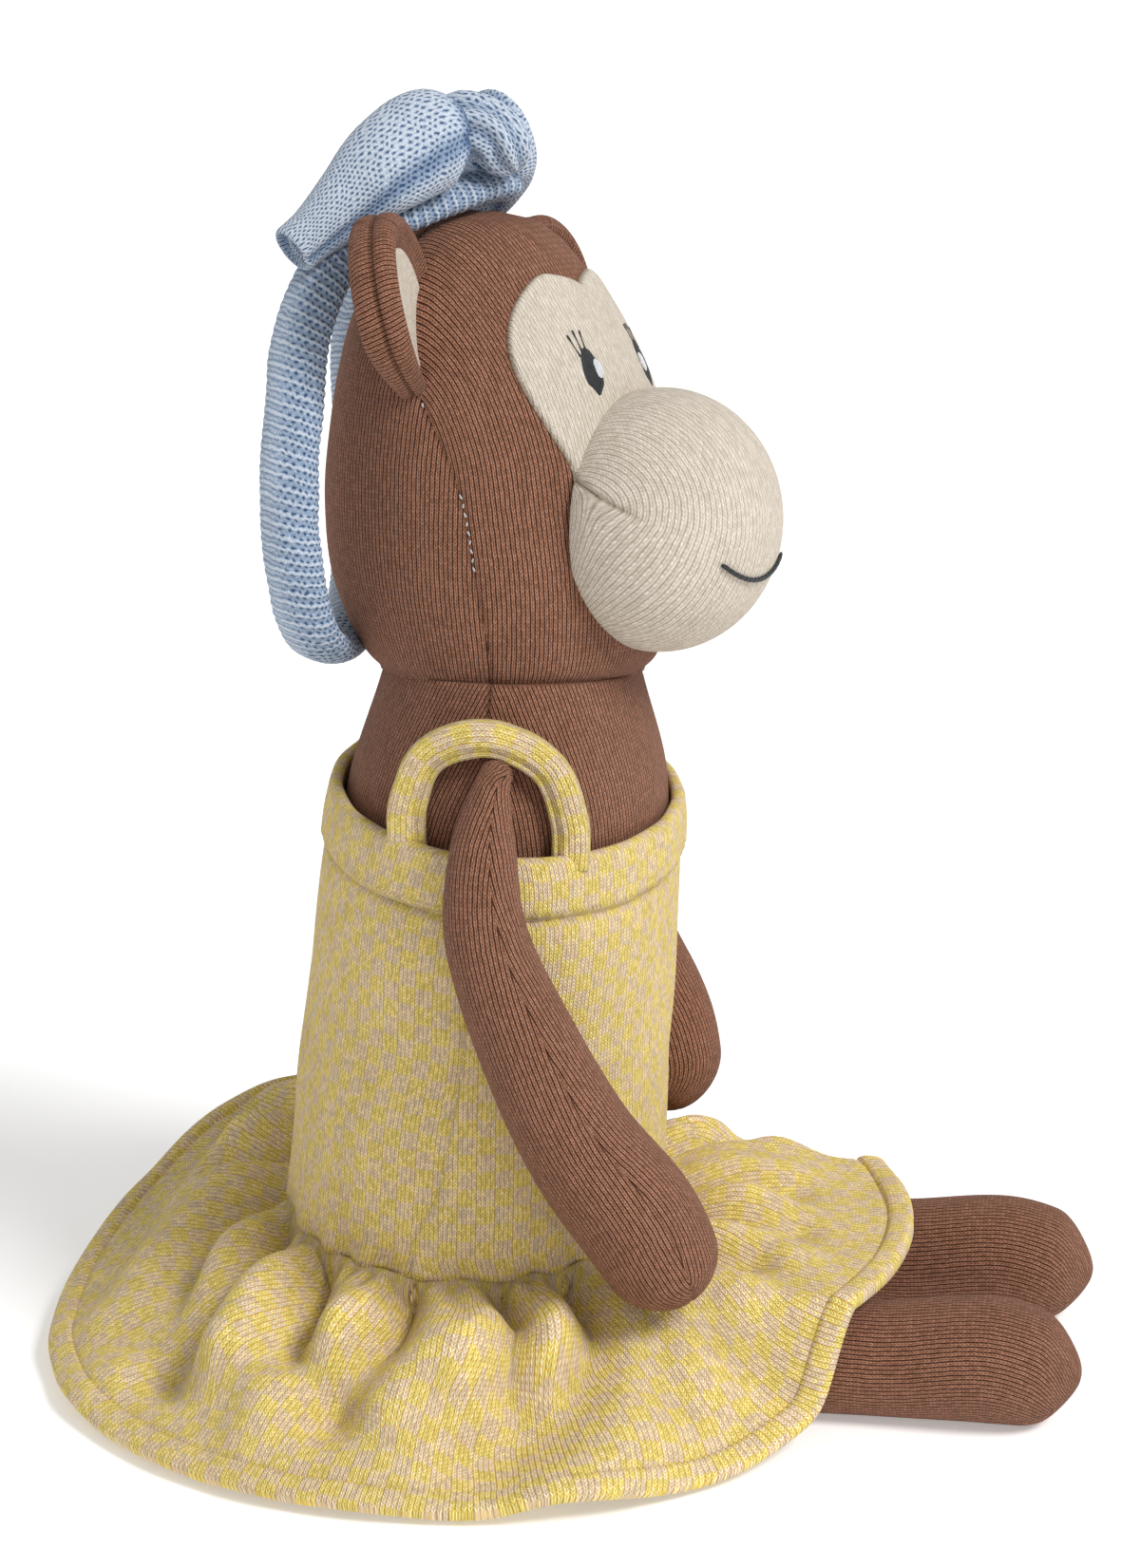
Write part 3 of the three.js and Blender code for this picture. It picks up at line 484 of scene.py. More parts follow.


# Each set of colours runs from a painted shade colour to a painted highlight colour, with the knits' own
# middle colour between.
BROWN = (30, 14, 9), (99, 60, 45), (170, 122, 97)
CREAM = (138, 122, 100), (193, 180, 162), (222, 213, 200)
YELLOW = (190, 134, 36), (232, 201, 96), (253, 240, 158)
BEIGE = (180, 128, 76), (225, 194, 150), (251, 234, 204)
CHECKED = {"check": BEIGE, "relief": 0.4, "rounding": 0.65, "between": 0.26, "fleck": 0.34}
brown_knit = knit("brown_knit", *BROWN)
brown_rows = knit("brown_knit_rows", *BROWN, two_panels=False)
cream_knit = knit("cream_knit", *CREAM, wale=1.05, course=0.9, two_panels=False, mottle=0.1, relief=0.2,
                  between=0.26, fleck=0.24)
checked_knit = knit("checked_knit", *YELLOW, **CHECKED)
checked_rows = knit("checked_knit_single", *YELLOW, two_panels=False, **CHECKED)
blue_knit = purl("blue_knit", (62, 90, 128), (138, 157, 182), (208, 216, 226))
dark_thread = thread("dark_thread", (12, 13, 15), (40, 43, 46))
light_thread = thread("light_thread", (176, 180, 184), (236, 238, 240))


# The body

def torso_at(height):
    """Half width, half depth and middle of the torso at heights"""
    return np.moveaxis(smooth_rows(TORSO_ROWS, height), -1, 0)


def arc_map(points, middle_column, vertical):
    """Map across the columns by length from the middle column, and along by the vertical numbers"""
    step = np.roll(np.linalg.norm(np.roll(points, -1, 1) - points, axis=-1), -middle_column, 1)
    forward = np.cumsum(step, 1) - step
    whole = step.sum(1)[:, None]
    signed = np.where(forward > 0.5 * whole, forward - whole, forward)
    return np.stack([np.roll(signed, middle_column, 1), vertical], -1)


def side_maps(points, vertical):
    """Maps of the front panel and the back panel"""
    columns = points.shape[1]
    middles = {"front": 3 * columns // 4, "back": columns // 4}
    return {key: arc_map(points, middle, vertical) for key, middle in middles.items()}


def build_torso():
    turn = ring(300)
    seat, shoulder = 14, 150
    rows = [np.linspace(0, seat, 12, endpoint=False), np.linspace(seat, shoulder, 90, endpoint=False),
            np.linspace(shoulder, NECK, 52)]
    rows = np.concatenate(rows)[:, None]
    wide, deep, middle = torso_at(rows)
    x, y = wide * np.cos(turn), deep * np.sin(turn)
    top = NECK - math.tan(HEAD_LEAN) * x
    leaned = shoulder + (rows - shoulder) * (top - shoulder) / (NECK - shoulder)
    z = np.where(rows > shoulder, leaned, rows + 0 * x)
    tuck = 1 - 0.006 * smooth_step(3.0, 0.0, top - z)
    points = np.stack([x * tuck, middle + y * tuck, z], -1)
    groove = bell(y, 0.6)
    points = raised(points, -0.45 * groove)
    # Painted shade in the side seam's groove.
    numbers = {"seam": -y, "pit": 0.7 * groove}
    piece("torso_skin", [skin(points, side_maps(points, z), numbers)], brown_knit, "torso", "torso")


# The head

HEAD_PLACE = np.array([0, -LEAN, NECK])
HEAD_ROTATION = rotation("Y", HEAD_LEAN) @ rotation("Z", HEAD_TURN)

# Side seam of the head: [height, degrees from the nose]
HEAD_SEAM = [[0, 71], [17, 71], [34, 71.5], [46, 73], [54, 76], [60, 79], [66, 82.5], [72, 86], [84, 93],
             [96, 99], [106, 106], [112, 115], [118, 122]]


def from_head(points):
    return points @ HEAD_ROTATION.T + HEAD_PLACE


def head_point(turn, height):
    turn, height = np.broadcast_arrays(np.asarray(turn, float), np.asarray(height, float))
    wide, deep, back = np.moveaxis(smooth_rows(HEAD_ROWS, height / HEAD_HEIGHT), -1, 0)
    x, y = wide * HEAD_WIDE * np.sin(turn), back * HEAD_BACK - deep * HEAD_DEEP * np.cos(turn)
    return np.stack([x, y, height], -1)


def on_head(turn, height, out):
    """Points that stand out from the head's skin"""
    across = head_point(turn + 0.01, height) - head_point(turn - 0.01, height)
    upwards = head_point(turn, height + 0.5) - head_point(turn, height - 0.5)
    return head_point(turn, height) + unit(np.cross(across, upwards)) * np.asarray(out)[..., None]


def wale_directions(points, normals, sense):
    """Directions of the wales: over the crown along planes beside its middle, then straight down"""
    over = np.cross(np.array([1.0, 0, 0]), normals) * sense
    down = np.array([0, 0, -1.0]) + normals * normals[..., 2:]
    height = points[..., 2]
    if sense > 0:
        straight = smooth_step(66, 36, height)
    else:
        wide = smooth_rows(HEAD_ROWS, height / HEAD_HEIGHT)[..., 0] * HEAD_WIDE
        straight = smooth_step(0.45, 0.8, np.abs(points[..., 0]) / wide)
        straight = np.maximum(straight, smooth_step(30, 12, height)) * smooth_step(112, 92, height)
    straight = straight[..., None]
    return along_skin(unit(over) * (1 - straight) + unit(down) * straight, normals)


def head_maps(points, turn, height):
    """Maps of the face's side and of the back, and the signed distance from the seam between them"""
    normals = grid_normals(points)
    columns = points.shape[1]
    from_nose = np.degrees(np.abs((turn + math.pi) % CIRCLE - math.pi))
    border = smooth_rows(HEAD_SEAM, height)[..., 0]
    seam = np.radians(border - from_nose) * np.hypot(points[..., 0], points[..., 1] - HEAD_BACK)
    maps = {}
    for key, sense, cut, ahead in (("front", 1, columns // 2 - 1, math.pi), ("back", -1, columns - 1, 0)):
        along = wale_directions(points, normals, sense)
        weight = 0.01 + 0.99 * smooth_step(-6, 1, seam * sense)
        weight[:, cut] = 0
        local = (turn + ahead) % CIRCLE - math.pi
        u = potential(points, np.cross(normals, along), HEAD_WIDE * local, weight)
        v = potential(points, along, -height, np.maximum(weight, 0.01))
        maps[key] = np.stack([u, v], -1)
    return maps, seam


def build_head():
    """Gives the head grid's turns and heights and its front map, which the face patch continues"""
    columns = 320
    fine = np.linspace(-0.005, 0.997, 2000)
    wide = smooth_rows(HEAD_ROWS, fine)[:, 0]
    run = length_along(np.column_stack([fine * HEAD_HEIGHT, wide * HEAD_WIDE]))
    heights = np.interp(np.linspace(0, run[-1], 190), run, fine) * HEAD_HEIGHT
    turn, height = np.broadcast_arrays(ring(columns) + math.pi / columns, heights[:, None])
    points = head_point(turn, height)
    maps, seam = head_maps(points, turn, height)
    groove = bell(seam, 0.6)
    tuck = smooth_step(2.5, 0.0, height)
    shaped = raised(points, 0.35 * noise(points, 42, 3) - 0.5 * groove - 0.4 * bell(seam, 4.0) - 0.25 * tuck)
    # Painted shade in the side seam's groove and round the neck.
    numbers = {"seam": seam, "pit": 0.5 * groove + 0.12 * tuck}
    piece("head_skin", [skin(from_head(shaped), maps, numbers)], brown_knit, "head", "head")
    return turn[0], heights, maps["front"]


def dash(line, radii, reference=(0, 0, 1)):
    """One stitch of thread through points in the head's frame"""
    stations = [[*point, radius, 0.85 * radius] for point, radius in zip(line, radii)]
    tube = Tube(stations, 12, 0.22, reference, round_start=0.8 * radii[0], round_end=0.8 * radii[-1])
    maps = {"front": np.stack([tube.turn * 0.6, tube.along], -1)}
    return skin(from_head(tube.points()), maps, {"pit": 0.0})


def build_seam_stitches(side, name):
    """Pale stitches that close the seam below each ear"""
    parts = []
    for k, height in enumerate([30.0 + 2.3 * k for k in range(9)] + [71.0]):
        rise = np.array([-0.55, 0.0, 0.55])
        turn = side * np.radians(smooth_rows(HEAD_SEAM, height + rise)[:, 0] + 0.5 * rise * (-1) ** k)
        line = on_head(turn, height + rise, np.array([-0.35, -0.1, -0.35]))
        parts.append(dash(line, (0.2, 0.26, 0.2), (0, 1, 0)))
    piece(f"{name}_seam_stitches", parts, light_thread, "head")


# Half of the face patch's edge: [share of its half angle, rise above the brow's peak]
PATCH_PEAK, PATCH_ANGLE, PATCH_OUT, PATCH_MIDDLE = 100.0, 50.0, 1.2, 64.0
PATCH_HALF = [[0, 0], [0.1, 1.2], [0.28, 2.4], [0.52, 2.6], [0.8, -2.6], [0.94, -8.5], [1, -15.5],
              [0.97, -23], [0.83, -36], [0.72, -45], [0.7, -52], [0.66, -60], [0.45, -68], [0, -70]]


def patch_outline(count):
    """Turns and heights round the patch"""
    half = np.array([[share * PATCH_ANGLE, PATCH_PEAK + rise, 0] for share, rise in PATCH_HALF])
    line, _ = spline(np.vstack([half, half[1:-1][::-1] * [-1, 1, 1]]), closed=True, per_span=30)
    run = length_along(line)
    places = np.linspace(0, run[-1], count, endpoint=False)
    turns, heights = (np.interp(places, run, line[:, k]) for k in (0, 1))
    return np.column_stack([np.radians(turns), heights])


def look_up(turns, heights, values, turn, height):
    """Values of a head grid at other turns and heights"""
    place = ((turn - turns[0]) / (turns[1] - turns[0])) % len(turns)
    row = np.interp(height, heights, np.arange(len(heights)))
    low, under = np.floor(place).astype(int), np.clip(np.floor(row).astype(int), 0, len(heights) - 2)
    share, up = (place - low)[..., None], (row - under)[..., None]
    a, b = low % len(turns), (low + 1) % len(turns)
    lower = values[under, a] * (1 - share) + values[under, b] * share
    upper = values[under + 1, a] * (1 - share) + values[under + 1, b] * share
    return lower * (1 - up) + upper * up


def build_face_patch(turns, heights, front):
    middle = np.array([0.0, PATCH_MIDDLE])
    edge = patch_outline(300) - middle
    shares = np.concatenate([np.linspace(0.02, 0.95, 56), np.linspace(0.96, 1.0, 7)])
    flat = middle + edge[None] * shares[:, None, None]
    inside = (1 - shares)[:, None] * np.hypot(edge[:, 0] * HEAD_WIDE, edge[:, 1])[None]
    out = 0.15 + (GAP + PATCH_OUT) * np.sqrt(1 - (1 - np.clip(inside / 1.6, 0, 1)) ** 2)
    flat = np.concatenate([flat, flat[::-1]])
    out = np.concatenate([out, np.full(out.shape, -0.6)])
    maps = {"front": look_up(turns, heights, front, flat[..., 0], flat[..., 1])}
    # Painted shade round the patch's edge.
    pit = np.concatenate([0.35 * bell(inside, 0.5), np.zeros_like(inside)])
    points = from_head(on_head(flat[..., 0], flat[..., 1], out))
    piece("face_patch_skin", [skin(points, maps, {"pit": pit})], cream_knit, "head", "face_patch")


MUZZLE_SIZE, MUZZLE_PLACE = np.array([33.0, 31.0, 34.0]), np.array([0, -41.5, 41.0])


def build_muzzle():
    turn = ring(260)
    polar = np.linspace(0.02, math.pi * 0.62, 140)[:, None]
    direction = [np.sin(polar) * np.sin(turn), -np.cos(polar) + 0 * turn, np.sin(polar) * np.cos(turn)]
    points = MUZZLE_PLACE + np.stack(direction, -1) * MUZZLE_SIZE
    x, y, z = np.moveaxis(points, -1, 0)
    normals = grid_normals(points)
    dart = smooth_step(-53.0, -44.0, y) * smooth_step(0.3, 0.7, np.abs(x) / MUZZLE_SIZE[0])
    away = z - (49.0 + 0.42 * (y + 40))
    over = unit(np.cross(np.array([1.0, 0, 0]), normals))
    down = unit(np.array([0, 0, -1.0]) + normals * normals[..., 2:])
    straight = smooth_step(1.0, -1.0, away)[..., None]
    along = along_skin(over * (1 - straight) + down * straight, normals)
    maps = np.stack([potential(points, np.cross(normals, along), x), potential(points, along, -z)], -1)
    groove = bell(away, 0.7) * dart
    points = raised(points, 0.35 * bell(away - 1.8, 1.5) * dart - 0.7 * groove)
    # Painted shade in the dart's groove.
    parts = [skin(from_head(points), {"front": maps}, {"pit": 0.45 * groove})]
    piece("muzzle_skin", parts, cream_knit, "head", "muzzle")


def build_smile():
    share = np.linspace(-1, 1, 16)
    turn, tilt = np.radians(27 * share - 6), np.radians(-22) + 5 * share ** 2 / 34
    direction = np.stack([np.sin(turn) * np.cos(tilt), -np.cos(turn) * np.cos(tilt), np.sin(tilt)], -1)
    line = MUZZLE_PLACE + direction * (MUZZLE_SIZE + 0.55)
    parts = []
    for a, b in zip(line, line[1:]):
        reach = 0.3 * (b - a) + [0, 0, 0.2]
        parts.append(dash([a - reach, 0.5 * (a + b), b + reach], (0.42, 0.66, 0.42)))
    piece("smile_stitches", parts, dark_thread, "head", "smile")


def stitched_pad(outline, place, thick, strand_angle):
    """A satin-stitched pad in surface coordinates, ridged by its threads"""
    outline = np.column_stack([np.asarray(outline, float), np.zeros(len(outline))])
    line = spline(outline, closed=True, per_span=10)[0][:-1, :2]
    middle = line.mean(0)
    shares = np.sin(np.linspace(0.04, math.pi / 2, 14))[:, None]
    flat = middle + (line - middle)[None] * shares[..., None]
    across = flat @ np.array([-math.sin(strand_angle), math.cos(strand_angle)])
    along = flat @ np.array([math.cos(strand_angle), math.sin(strand_angle)])
    ridge = 0.07 * np.sin(CIRCLE * across / THREAD)
    out = thick * (0.15 + 0.85 * np.sqrt(np.maximum(0, 1 - shares ** 3))) + ridge * (1 - shares ** 6)
    maps = np.stack([across, along], -1)
    points = np.concatenate([place(flat, out), place(flat[::-1], np.full(out.shape, -0.3))])
    return skin(from_head(points), {"front": np.concatenate([maps, maps[::-1]])}, {"pit": 0.0})


EYE_HEIGHT, EYE_TURN, EYE_BASE = 79.0, 19.0, 1.35
EYE_OUTLINE = [[-0.2, 5.6], [1.3, 5.0], [2.6, 3.2], [3.3, 1.0], [3.5, -1.2], [3.2, -3.2], [2.0, -4.6],
               [0.5, -6.4], [-1.2, -5.0], [-2.6, -3.4], [-3.1, -1.2], [-3.3, 0.8], [-2.6, 2.8], [-1.6, 4.8]]
LASHES = [[(-0.2, 4.6), (-0.9, 9.6)], [(1.3, 4.2), (1.7, 9.7)], [(2.5, 3.2), (4.4, 8.6)]]
SHINE_OUTLINE = [[-2.9, 1.6], [-1.9, 2.5], [-0.9, 1.9], [-0.6, 0.2], [-0.9, -1.7], [-1.9, -2.2], [-2.8, -1.3],
                 [-3.2, 0.2]]


def build_eye(side, name):
    def place(flat, out):
        turn = side * (math.radians(EYE_TURN) + flat[..., 0] / HEAD_DEEP)
        return on_head(turn, EYE_HEIGHT + flat[..., 1], EYE_BASE + out)

    parts = [stitched_pad(EYE_OUTLINE, place, 0.75, 0.5)]
    for start, end in np.array(LASHES):
        line = place(start + (end - start) * np.array([[0], [0.3], [0.62], [0.86], [1.0]]), np.full(5, 0.2))
        parts.append(dash(line, (0.5, 0.3, 0.28, 0.45, 0.32), (1, 0, 0)))
    piece(f"{name}_eye_stitches", parts, dark_thread, "head", f"{name}_eye")
    shine = stitched_pad(SHINE_OUTLINE, lambda flat, out: place(flat, out + 0.55), 0.5, 1.3)
    piece(f"{name}_eye_light", [shine], light_thread, "head", f"{name}_eye_highlight")


# Ears, with their section as [share of the reach, share of the half thickness]
EARS = {
    "right": {"reach": 20.3, "tall": 26.3, "place": (47.0, 12.0, 94.0), "splay": math.radians(22)},
    "left": {"reach": 16.8, "tall": 23.3, "place": (41.0, 15.0, 91.5), "splay": math.radians(4)},
}
EAR_THICK, EAR_TILT, EAR_CUP, EAR_LINING = 13.4, math.radians(12), math.radians(14), 0.62
EAR_PROFILE = [[0, 0.3], [0.5, 0.4], [0.72, 0.75], [0.86, 1], [0.97, 0.7], [1, 0], [0.94, -0.7], [0.7, -0.95],
               [0, -1]]


def build_ear(side, name):
    ear = EARS[name]
    reach, tall = ear["reach"], ear["tall"]
    turn = ring(220)
    half = 0.5 * EAR_THICK
    turned = rotation("Z", -side * EAR_CUP) @ rotation("X", -EAR_TILT) @ rotation("Y", side * ear["splay"])
    spread, back, height = ear["place"]

    def placed(radius, rise, tuck=0.0):
        """Points from distances out from the ear's middle and forward"""
        x, z = (radius - tuck) * np.sin(turn), radius * (tall / reach) * np.cos(turn) - tuck * np.cos(turn)
        pinch = 1 - 0.4 * smooth_step(0.1, -1, z / tall)
        points = np.stack([x * pinch, -(rise + 0 * turn) * pinch, z], -1) @ turned.T
        return from_head(points + [side * spread, back, height])

    line, _ = spline(np.array([[r * reach, h * half, 0] for r, h in EAR_PROFILE]), per_span=40)
    run = length_along(line)
    marks = np.linspace(0, run[-1], 90)
    radius = np.maximum(np.interp(marks, run, line[:, 0]), 0.3)[:, None]
    rise = np.interp(marks, run, line[:, 1])[:, None]
    away = (marks - run[np.argmax(line[:, 0])])[:, None] + 0 * turn
    groove = bell(away, 0.6)
    points = placed(radius, rise, 0.7 * groove + 0.5 * bell(away, 2.6))
    maps = np.stack([turn * 0.5 * (reach + tall) + 0.25 * away, away], -1)
    # Painted shade in the groove at the rim.
    parts = [skin(points, {"front": maps}, {"pit": 0.8 * groove})]
    piece(f"{name}_ear_skin", parts, brown_rows, "head", f"{name}_ear")

    shares = np.concatenate([np.linspace(0.02, 0.93, 30), np.linspace(0.94, 1, 6)])
    radius = (shares * EAR_LINING * reach)[:, None]
    level = smooth_rows(EAR_PROFILE[:5], shares * EAR_LINING) * half
    out = 0.2 + 1.3 * np.sqrt(1 - np.clip((shares - 0.86) / 0.14, 0, 1) ** 2)[:, None]
    rise = np.concatenate([level + out, (level - 0.5)[::-1]])
    radius = np.concatenate([radius, radius[::-1]])
    maps = np.stack([radius * np.sin(turn), radius * (tall / reach) * np.cos(turn)], -1)
    parts = [skin(placed(radius, rise), {"front": maps}, {"pit": 0.0})]
    piece(f"{name}_ear_lining_skin", parts, cream_knit, "head", f"{name}_ear_lining")


# Limbs

def build_limb(name, tube, middle_degrees, half_degrees, flat_at=None):
    """A limb of two long panels: the front one lies half_degrees to both sides of its middle line"""
    share = tube.run / tube.length
    middle = np.radians(smooth_rows(middle_degrees, share))
    half = np.radians(smooth_rows(half_degrees, share))
    phase = (tube.turn - middle + math.pi) % CIRCLE - math.pi
    seam = (half - np.abs(phase)) * tube.radius
    groove = bell(seam, 0.55)
    points = tube.points()
    lumps = 0.3 * noise(points, 30, 11)
    points = raised(points, (lumps - 0.3 * groove) * np.minimum(1.0, tube.radius / 3.0))
    if flat_at:
        points[..., 2] = np.maximum(points[..., 2], flat_at)
    behind = np.where(phase > 0, phase - math.pi, phase + math.pi)
    panels = {"front": phase, "back": behind}
    maps = {key: np.stack([turn * tube.radius, tube.along], -1) for key, turn in panels.items()}
    # Painted shade in the seam's groove.
    parts = [skin(points, maps, {"seam": seam, "pit": 0.2 * groove})]
    piece(f"{name}_skin", parts, brown_knit, name, name)


SHOULDER, ELBOW, HAND = 179.0, 124.0, 39.0
ARM_LINE, ARM_RADIUS, HAND_RADIUS = -13.0, 10.0, 14.5

# How far the arm's seam turns from its side on the way down: [share, degrees]
ARM_SEAM = [[0, 4], [0.2, 8], [0.32, 20], [0.6, 23], [0.75, 27], [0.9, 21], [1, 16]]


def build_arm(side, name, lap):
    """lap is how far the arm comes forward over the lap, from 0 to 1"""
    root = float(torso_at(SHOULDER)[0])
    outside = 51 + NECKLINE_EASE + HEM_CLOTH + GAP
    y, hang, inset, forward = ARM_LINE, outside + ARM_RADIUS + 1.5, 17 * lap, 65 * lap
    low = HAND + 12 * (1 - lap)
    stations = [
        [root - 3, y, SHOULDER, 4.5, 4.5], [root + 8, y, SHOULDER, 4.5, 4.5],
        [outside + 1, y, SHOULDER - 2.5, 5.5, 5.5], [hang - 3.2, y + 0.5, SHOULDER - 14, 7.6, 8.5],
        [hang, y, SHOULDER - 31, 9.7, 10.4], [hang + 0.8, y - 5 * lap, ELBOW + 6, 11, 11.9],
        [hang - 0.1 * inset + 1.2, y - 0.36 * forward, 0.6 * ELBOW + 0.4 * low, 13.3, 14.8],
        [hang - 0.5 * inset + 1.2, y - 0.6 * forward, 0.22 * ELBOW + 0.78 * low + 6.5, HAND_RADIUS - 0.2,
         HAND_RADIUS + 1.7],
        [hang - inset + 1, y - 0.76 * forward, low + 0.7, 0.86 * HAND_RADIUS, 0.95 * HAND_RADIUS],
    ]
    tube = Tube([[side * x, *rest] for x, *rest in stations], 110, 0.8, (1, 0.2, 0), round_end=HAND_RADIUS)
    middle = [[share, 90 + side * degrees] for share, degrees in ARM_SEAM]
    build_limb(name, tube, middle, [[0, 90], [1, 90]])


FOOT_RADIUS, LEG_RADIUS = 16.8, 15.5
LEG_SPREAD, LEG_FORWARD, FOOT_REACH, FLAT = 33.0, 46.0, 165.5, 0.5

# Leg from the hip to the toes: [share of the length, radius]
LEG_ROWS = [[0, LEG_RADIUS], [0.28, LEG_RADIUS + 0.6], [0.56, LEG_RADIUS], [0.8, FOOT_RADIUS],
            [0.93, 0.87 * FOOT_RADIUS]]


def build_leg(side, name):
    toe = FOOT_REACH - LEG_FORWARD
    rows = [[-LEG_RADIUS / toe, LEG_RADIUS]] + LEG_ROWS
    x, tip = side * LEG_SPREAD, 0.6 * FOOT_RADIUS
    stations = [[x, -LEG_FORWARD - share * toe, radius - FLAT, radius, radius] for share, radius in rows]
    stations.append([x, -FOOT_REACH, 0.78 * FOOT_RADIUS, tip, tip])
    tube = Tube(stations, 120, 0.8, (1, 0, 0), round_start=LEG_RADIUS, round_end=0.8 * FOOT_RADIUS)
    build_limb(name, tube, [[0, 90], [1, 90]], [[0, 150], [0.75, 148], [0.93, 132], [1, 120]], flat_at=0.02)


# The dress

# Lead of the dress's side seams ahead of its sides: [height, degrees]
DRESS_SEAM = [[WAIST, 10], [55, 8.5], [66, 3], [100, -1.5], [NECKLINE, -3]]
DRESS_COLUMNS = 330


def dress_band(name, rows, outside_rows, tilt_all, middle, shape, vertical):
    """A band of the dress round the torso from rows of [height, distance out]. shape gives how far each point
    moves out from the middle, and the painted shade of its grooves. vertical gives each row's place on the
    map."""
    rows = np.asarray(rows, float)
    turn = ring(DRESS_COLUMNS)
    height, out = rows[:, :1], rows[:, 1:]
    wide, deep, torso_middle = torso_at(height)
    ease = WAIST_EASE + smooth_step(WAIST, NECKLINE, height) * (NECKLINE_EASE - WAIST_EASE)
    x = (wide + ease + out) * np.cos(turn)
    y = torso_middle + (deep + WAIST_EASE + out) * np.sin(turn)
    lift = (y + LEAN) * math.tan(NECKLINE_TILT)
    if not tilt_all:
        lift = lift * smooth_step(WAIST, NECKLINE - NECK_HEM, height)
    points = np.stack([x, y, height + lift], -1)
    lead = np.radians(smooth_rows(DRESS_SEAM, height)[..., 0])
    seam = -np.sin(turn - np.where(np.cos(turn) > 0, lead, -lead)) * np.hypot(x, y + 5)
    outside = np.zeros(seam.shape)
    outside[outside_rows] = 1
    amount, pit = shape(points, height + 0 * turn, turn, seam, outside)
    points = points + unit(points * [1, 1, 0] - [0, middle, 0]) * amount[..., None]
    maps = side_maps(points, vertical(rows)[:, None] + 0 * turn)
    parts = [skin(points, maps, {"seam": seam, "pit": pit}, loop_rows=True)]
    return piece(f"{name}_cloth", parts, checked_knit, "torso", name)


def build_bodice():
    top = NECKLINE - NECK_HEM - GAP
    foot = WAIST - 0.9
    outer = [[h, CLOTH] for h in np.linspace(WAIST, top, 112)[1:]]
    inner = [[h, 0] for h in np.linspace(top, WAIST, 40)]

    def shape(points, heights, turn, seam, outside):
        ripple = bell(heights - WAIST, 6.0) * (0.9 * np.sin(19 * turn + 1.3 * np.sin(5 * turn)) - 0.3)
        groove, edge = bell(seam, 0.7), bell(top - heights, 1.4)
        amount = outside * (1.1 * noise(points, 45, 21) + ripple - 0.4 * groove - 0.8 * edge)
        # Painted shade in the side seams' grooves and under the neck hem's edge.
        return amount, outside * (0.25 * groove + 0.3 * edge)

    rows = [[foot, 0.6], [foot, CLOTH + 0.3]] + outer + inner
    return dress_band("dress_bodice", rows, slice(1, 113), False, -5, shape, lambda rows: rows[:, 0])


def build_neck_hem():
    low = NECKLINE - NECK_HEM
    half = 0.5 * HEM_CLOTH
    outer = [[low - 1.3, 1.3], [low - 0.4, 2.3], [low + 0.6, 3.0], [low + 1.6, 3.5]]
    outer += [[h, HEM_CLOTH + 0.25 * math.sin(math.pi * (h - low) / NECK_HEM)]
              for h in np.linspace(low + 2.4, NECKLINE - half, 26)]
    outer += [[NECKLINE - half + half * math.sin(a), half + half * math.cos(a)]
              for a in np.linspace(0.2, math.pi - 0.2, 12)]
    inner = [[h, 0] for h in np.linspace(NECKLINE - half, low, 20)]

    def shape(points, heights, turn, seam, outside):
        stitch = bell(heights - low - 1.0, 1.1) * outside
        pucker = stitch * 0.35 * np.sin(turn * 70 + 2 * np.sin(9 * turn))
        # Painted shade along the hem's stitched line.
        return outside * 0.45 * noise(points, 22, 31) + pucker, 0.14 * stitch

    return dress_band("dress_neck_hem", outer + inner, slice(0, len(outer)), True, -LEAN, shape,
                      lambda rows: length_along(rows) + low)


STRAP_WIDE, STRAP_THICK, STRAP_RISE, STRAP_SPAN = 10.0, 4.5, 30.0, 21.0

# Half of the strap's line over the shoulder: [share of the span, share of the rise]
STRAP_HALF = [(-0.98, -0.08), (-1, 0.08), (-0.98, 0.33), (-0.72, 0.78), (0, 1)]


def build_strap(side, name):
    chest_wide, chest_deep, chest_middle = torso_at(NECKLINE)
    wall = NECKLINE_EASE + 0.5 * HEM_CLOTH
    foot, middle = NECKLINE - 1.2, -LEAN - 1

    def station(share, height):
        y, rise = middle + share * STRAP_SPAN, height * STRAP_RISE
        seat = (chest_wide + wall) * math.sqrt(1 - ((y - chest_middle) / (chest_deep + wall)) ** 2)
        tuck = 2.4 * max(0, 1 - rise / 8)
        return [side * (seat - 0.27 * rise - tuck), y, foot + (y + LEAN) * math.tan(NECKLINE_TILT) + rise,
                0.5 * STRAP_WIDE, 0.5 * STRAP_THICK]

    def outwards(places):
        return (places - [0, middle, foot]) * [0, 1, 1]

    marks = STRAP_HALF + [(-y, rise) for y, rise in STRAP_HALF[-2::-1]]
    tube = Tube([station(*mark) for mark in marks], 64, 0.6, outwards)
    across, up = np.cos(tube.turn), np.sin(tube.turn)
    square = (np.abs(across) ** 2.6 + np.abs(up) ** 2.6) ** (-1 / 2.6)
    points = tube.points(wide=square, thick=square * (1 + 0.28 * smooth_step(0.5, 1, -across)))
    fold = bell(across + 0.55, 0.16)
    points = raised(points, 0.3 * noise(points, 14, 41) - 0.5 * fold)
    # Painted shade in the fold along the strap.
    parts = [skin(points, {"front": np.stack([tube.turn * 4.2, tube.along], -1)}, {"pit": 0.3 * fold})]
    piece(f"{name}_cloth", parts, checked_rows, "torso", name)


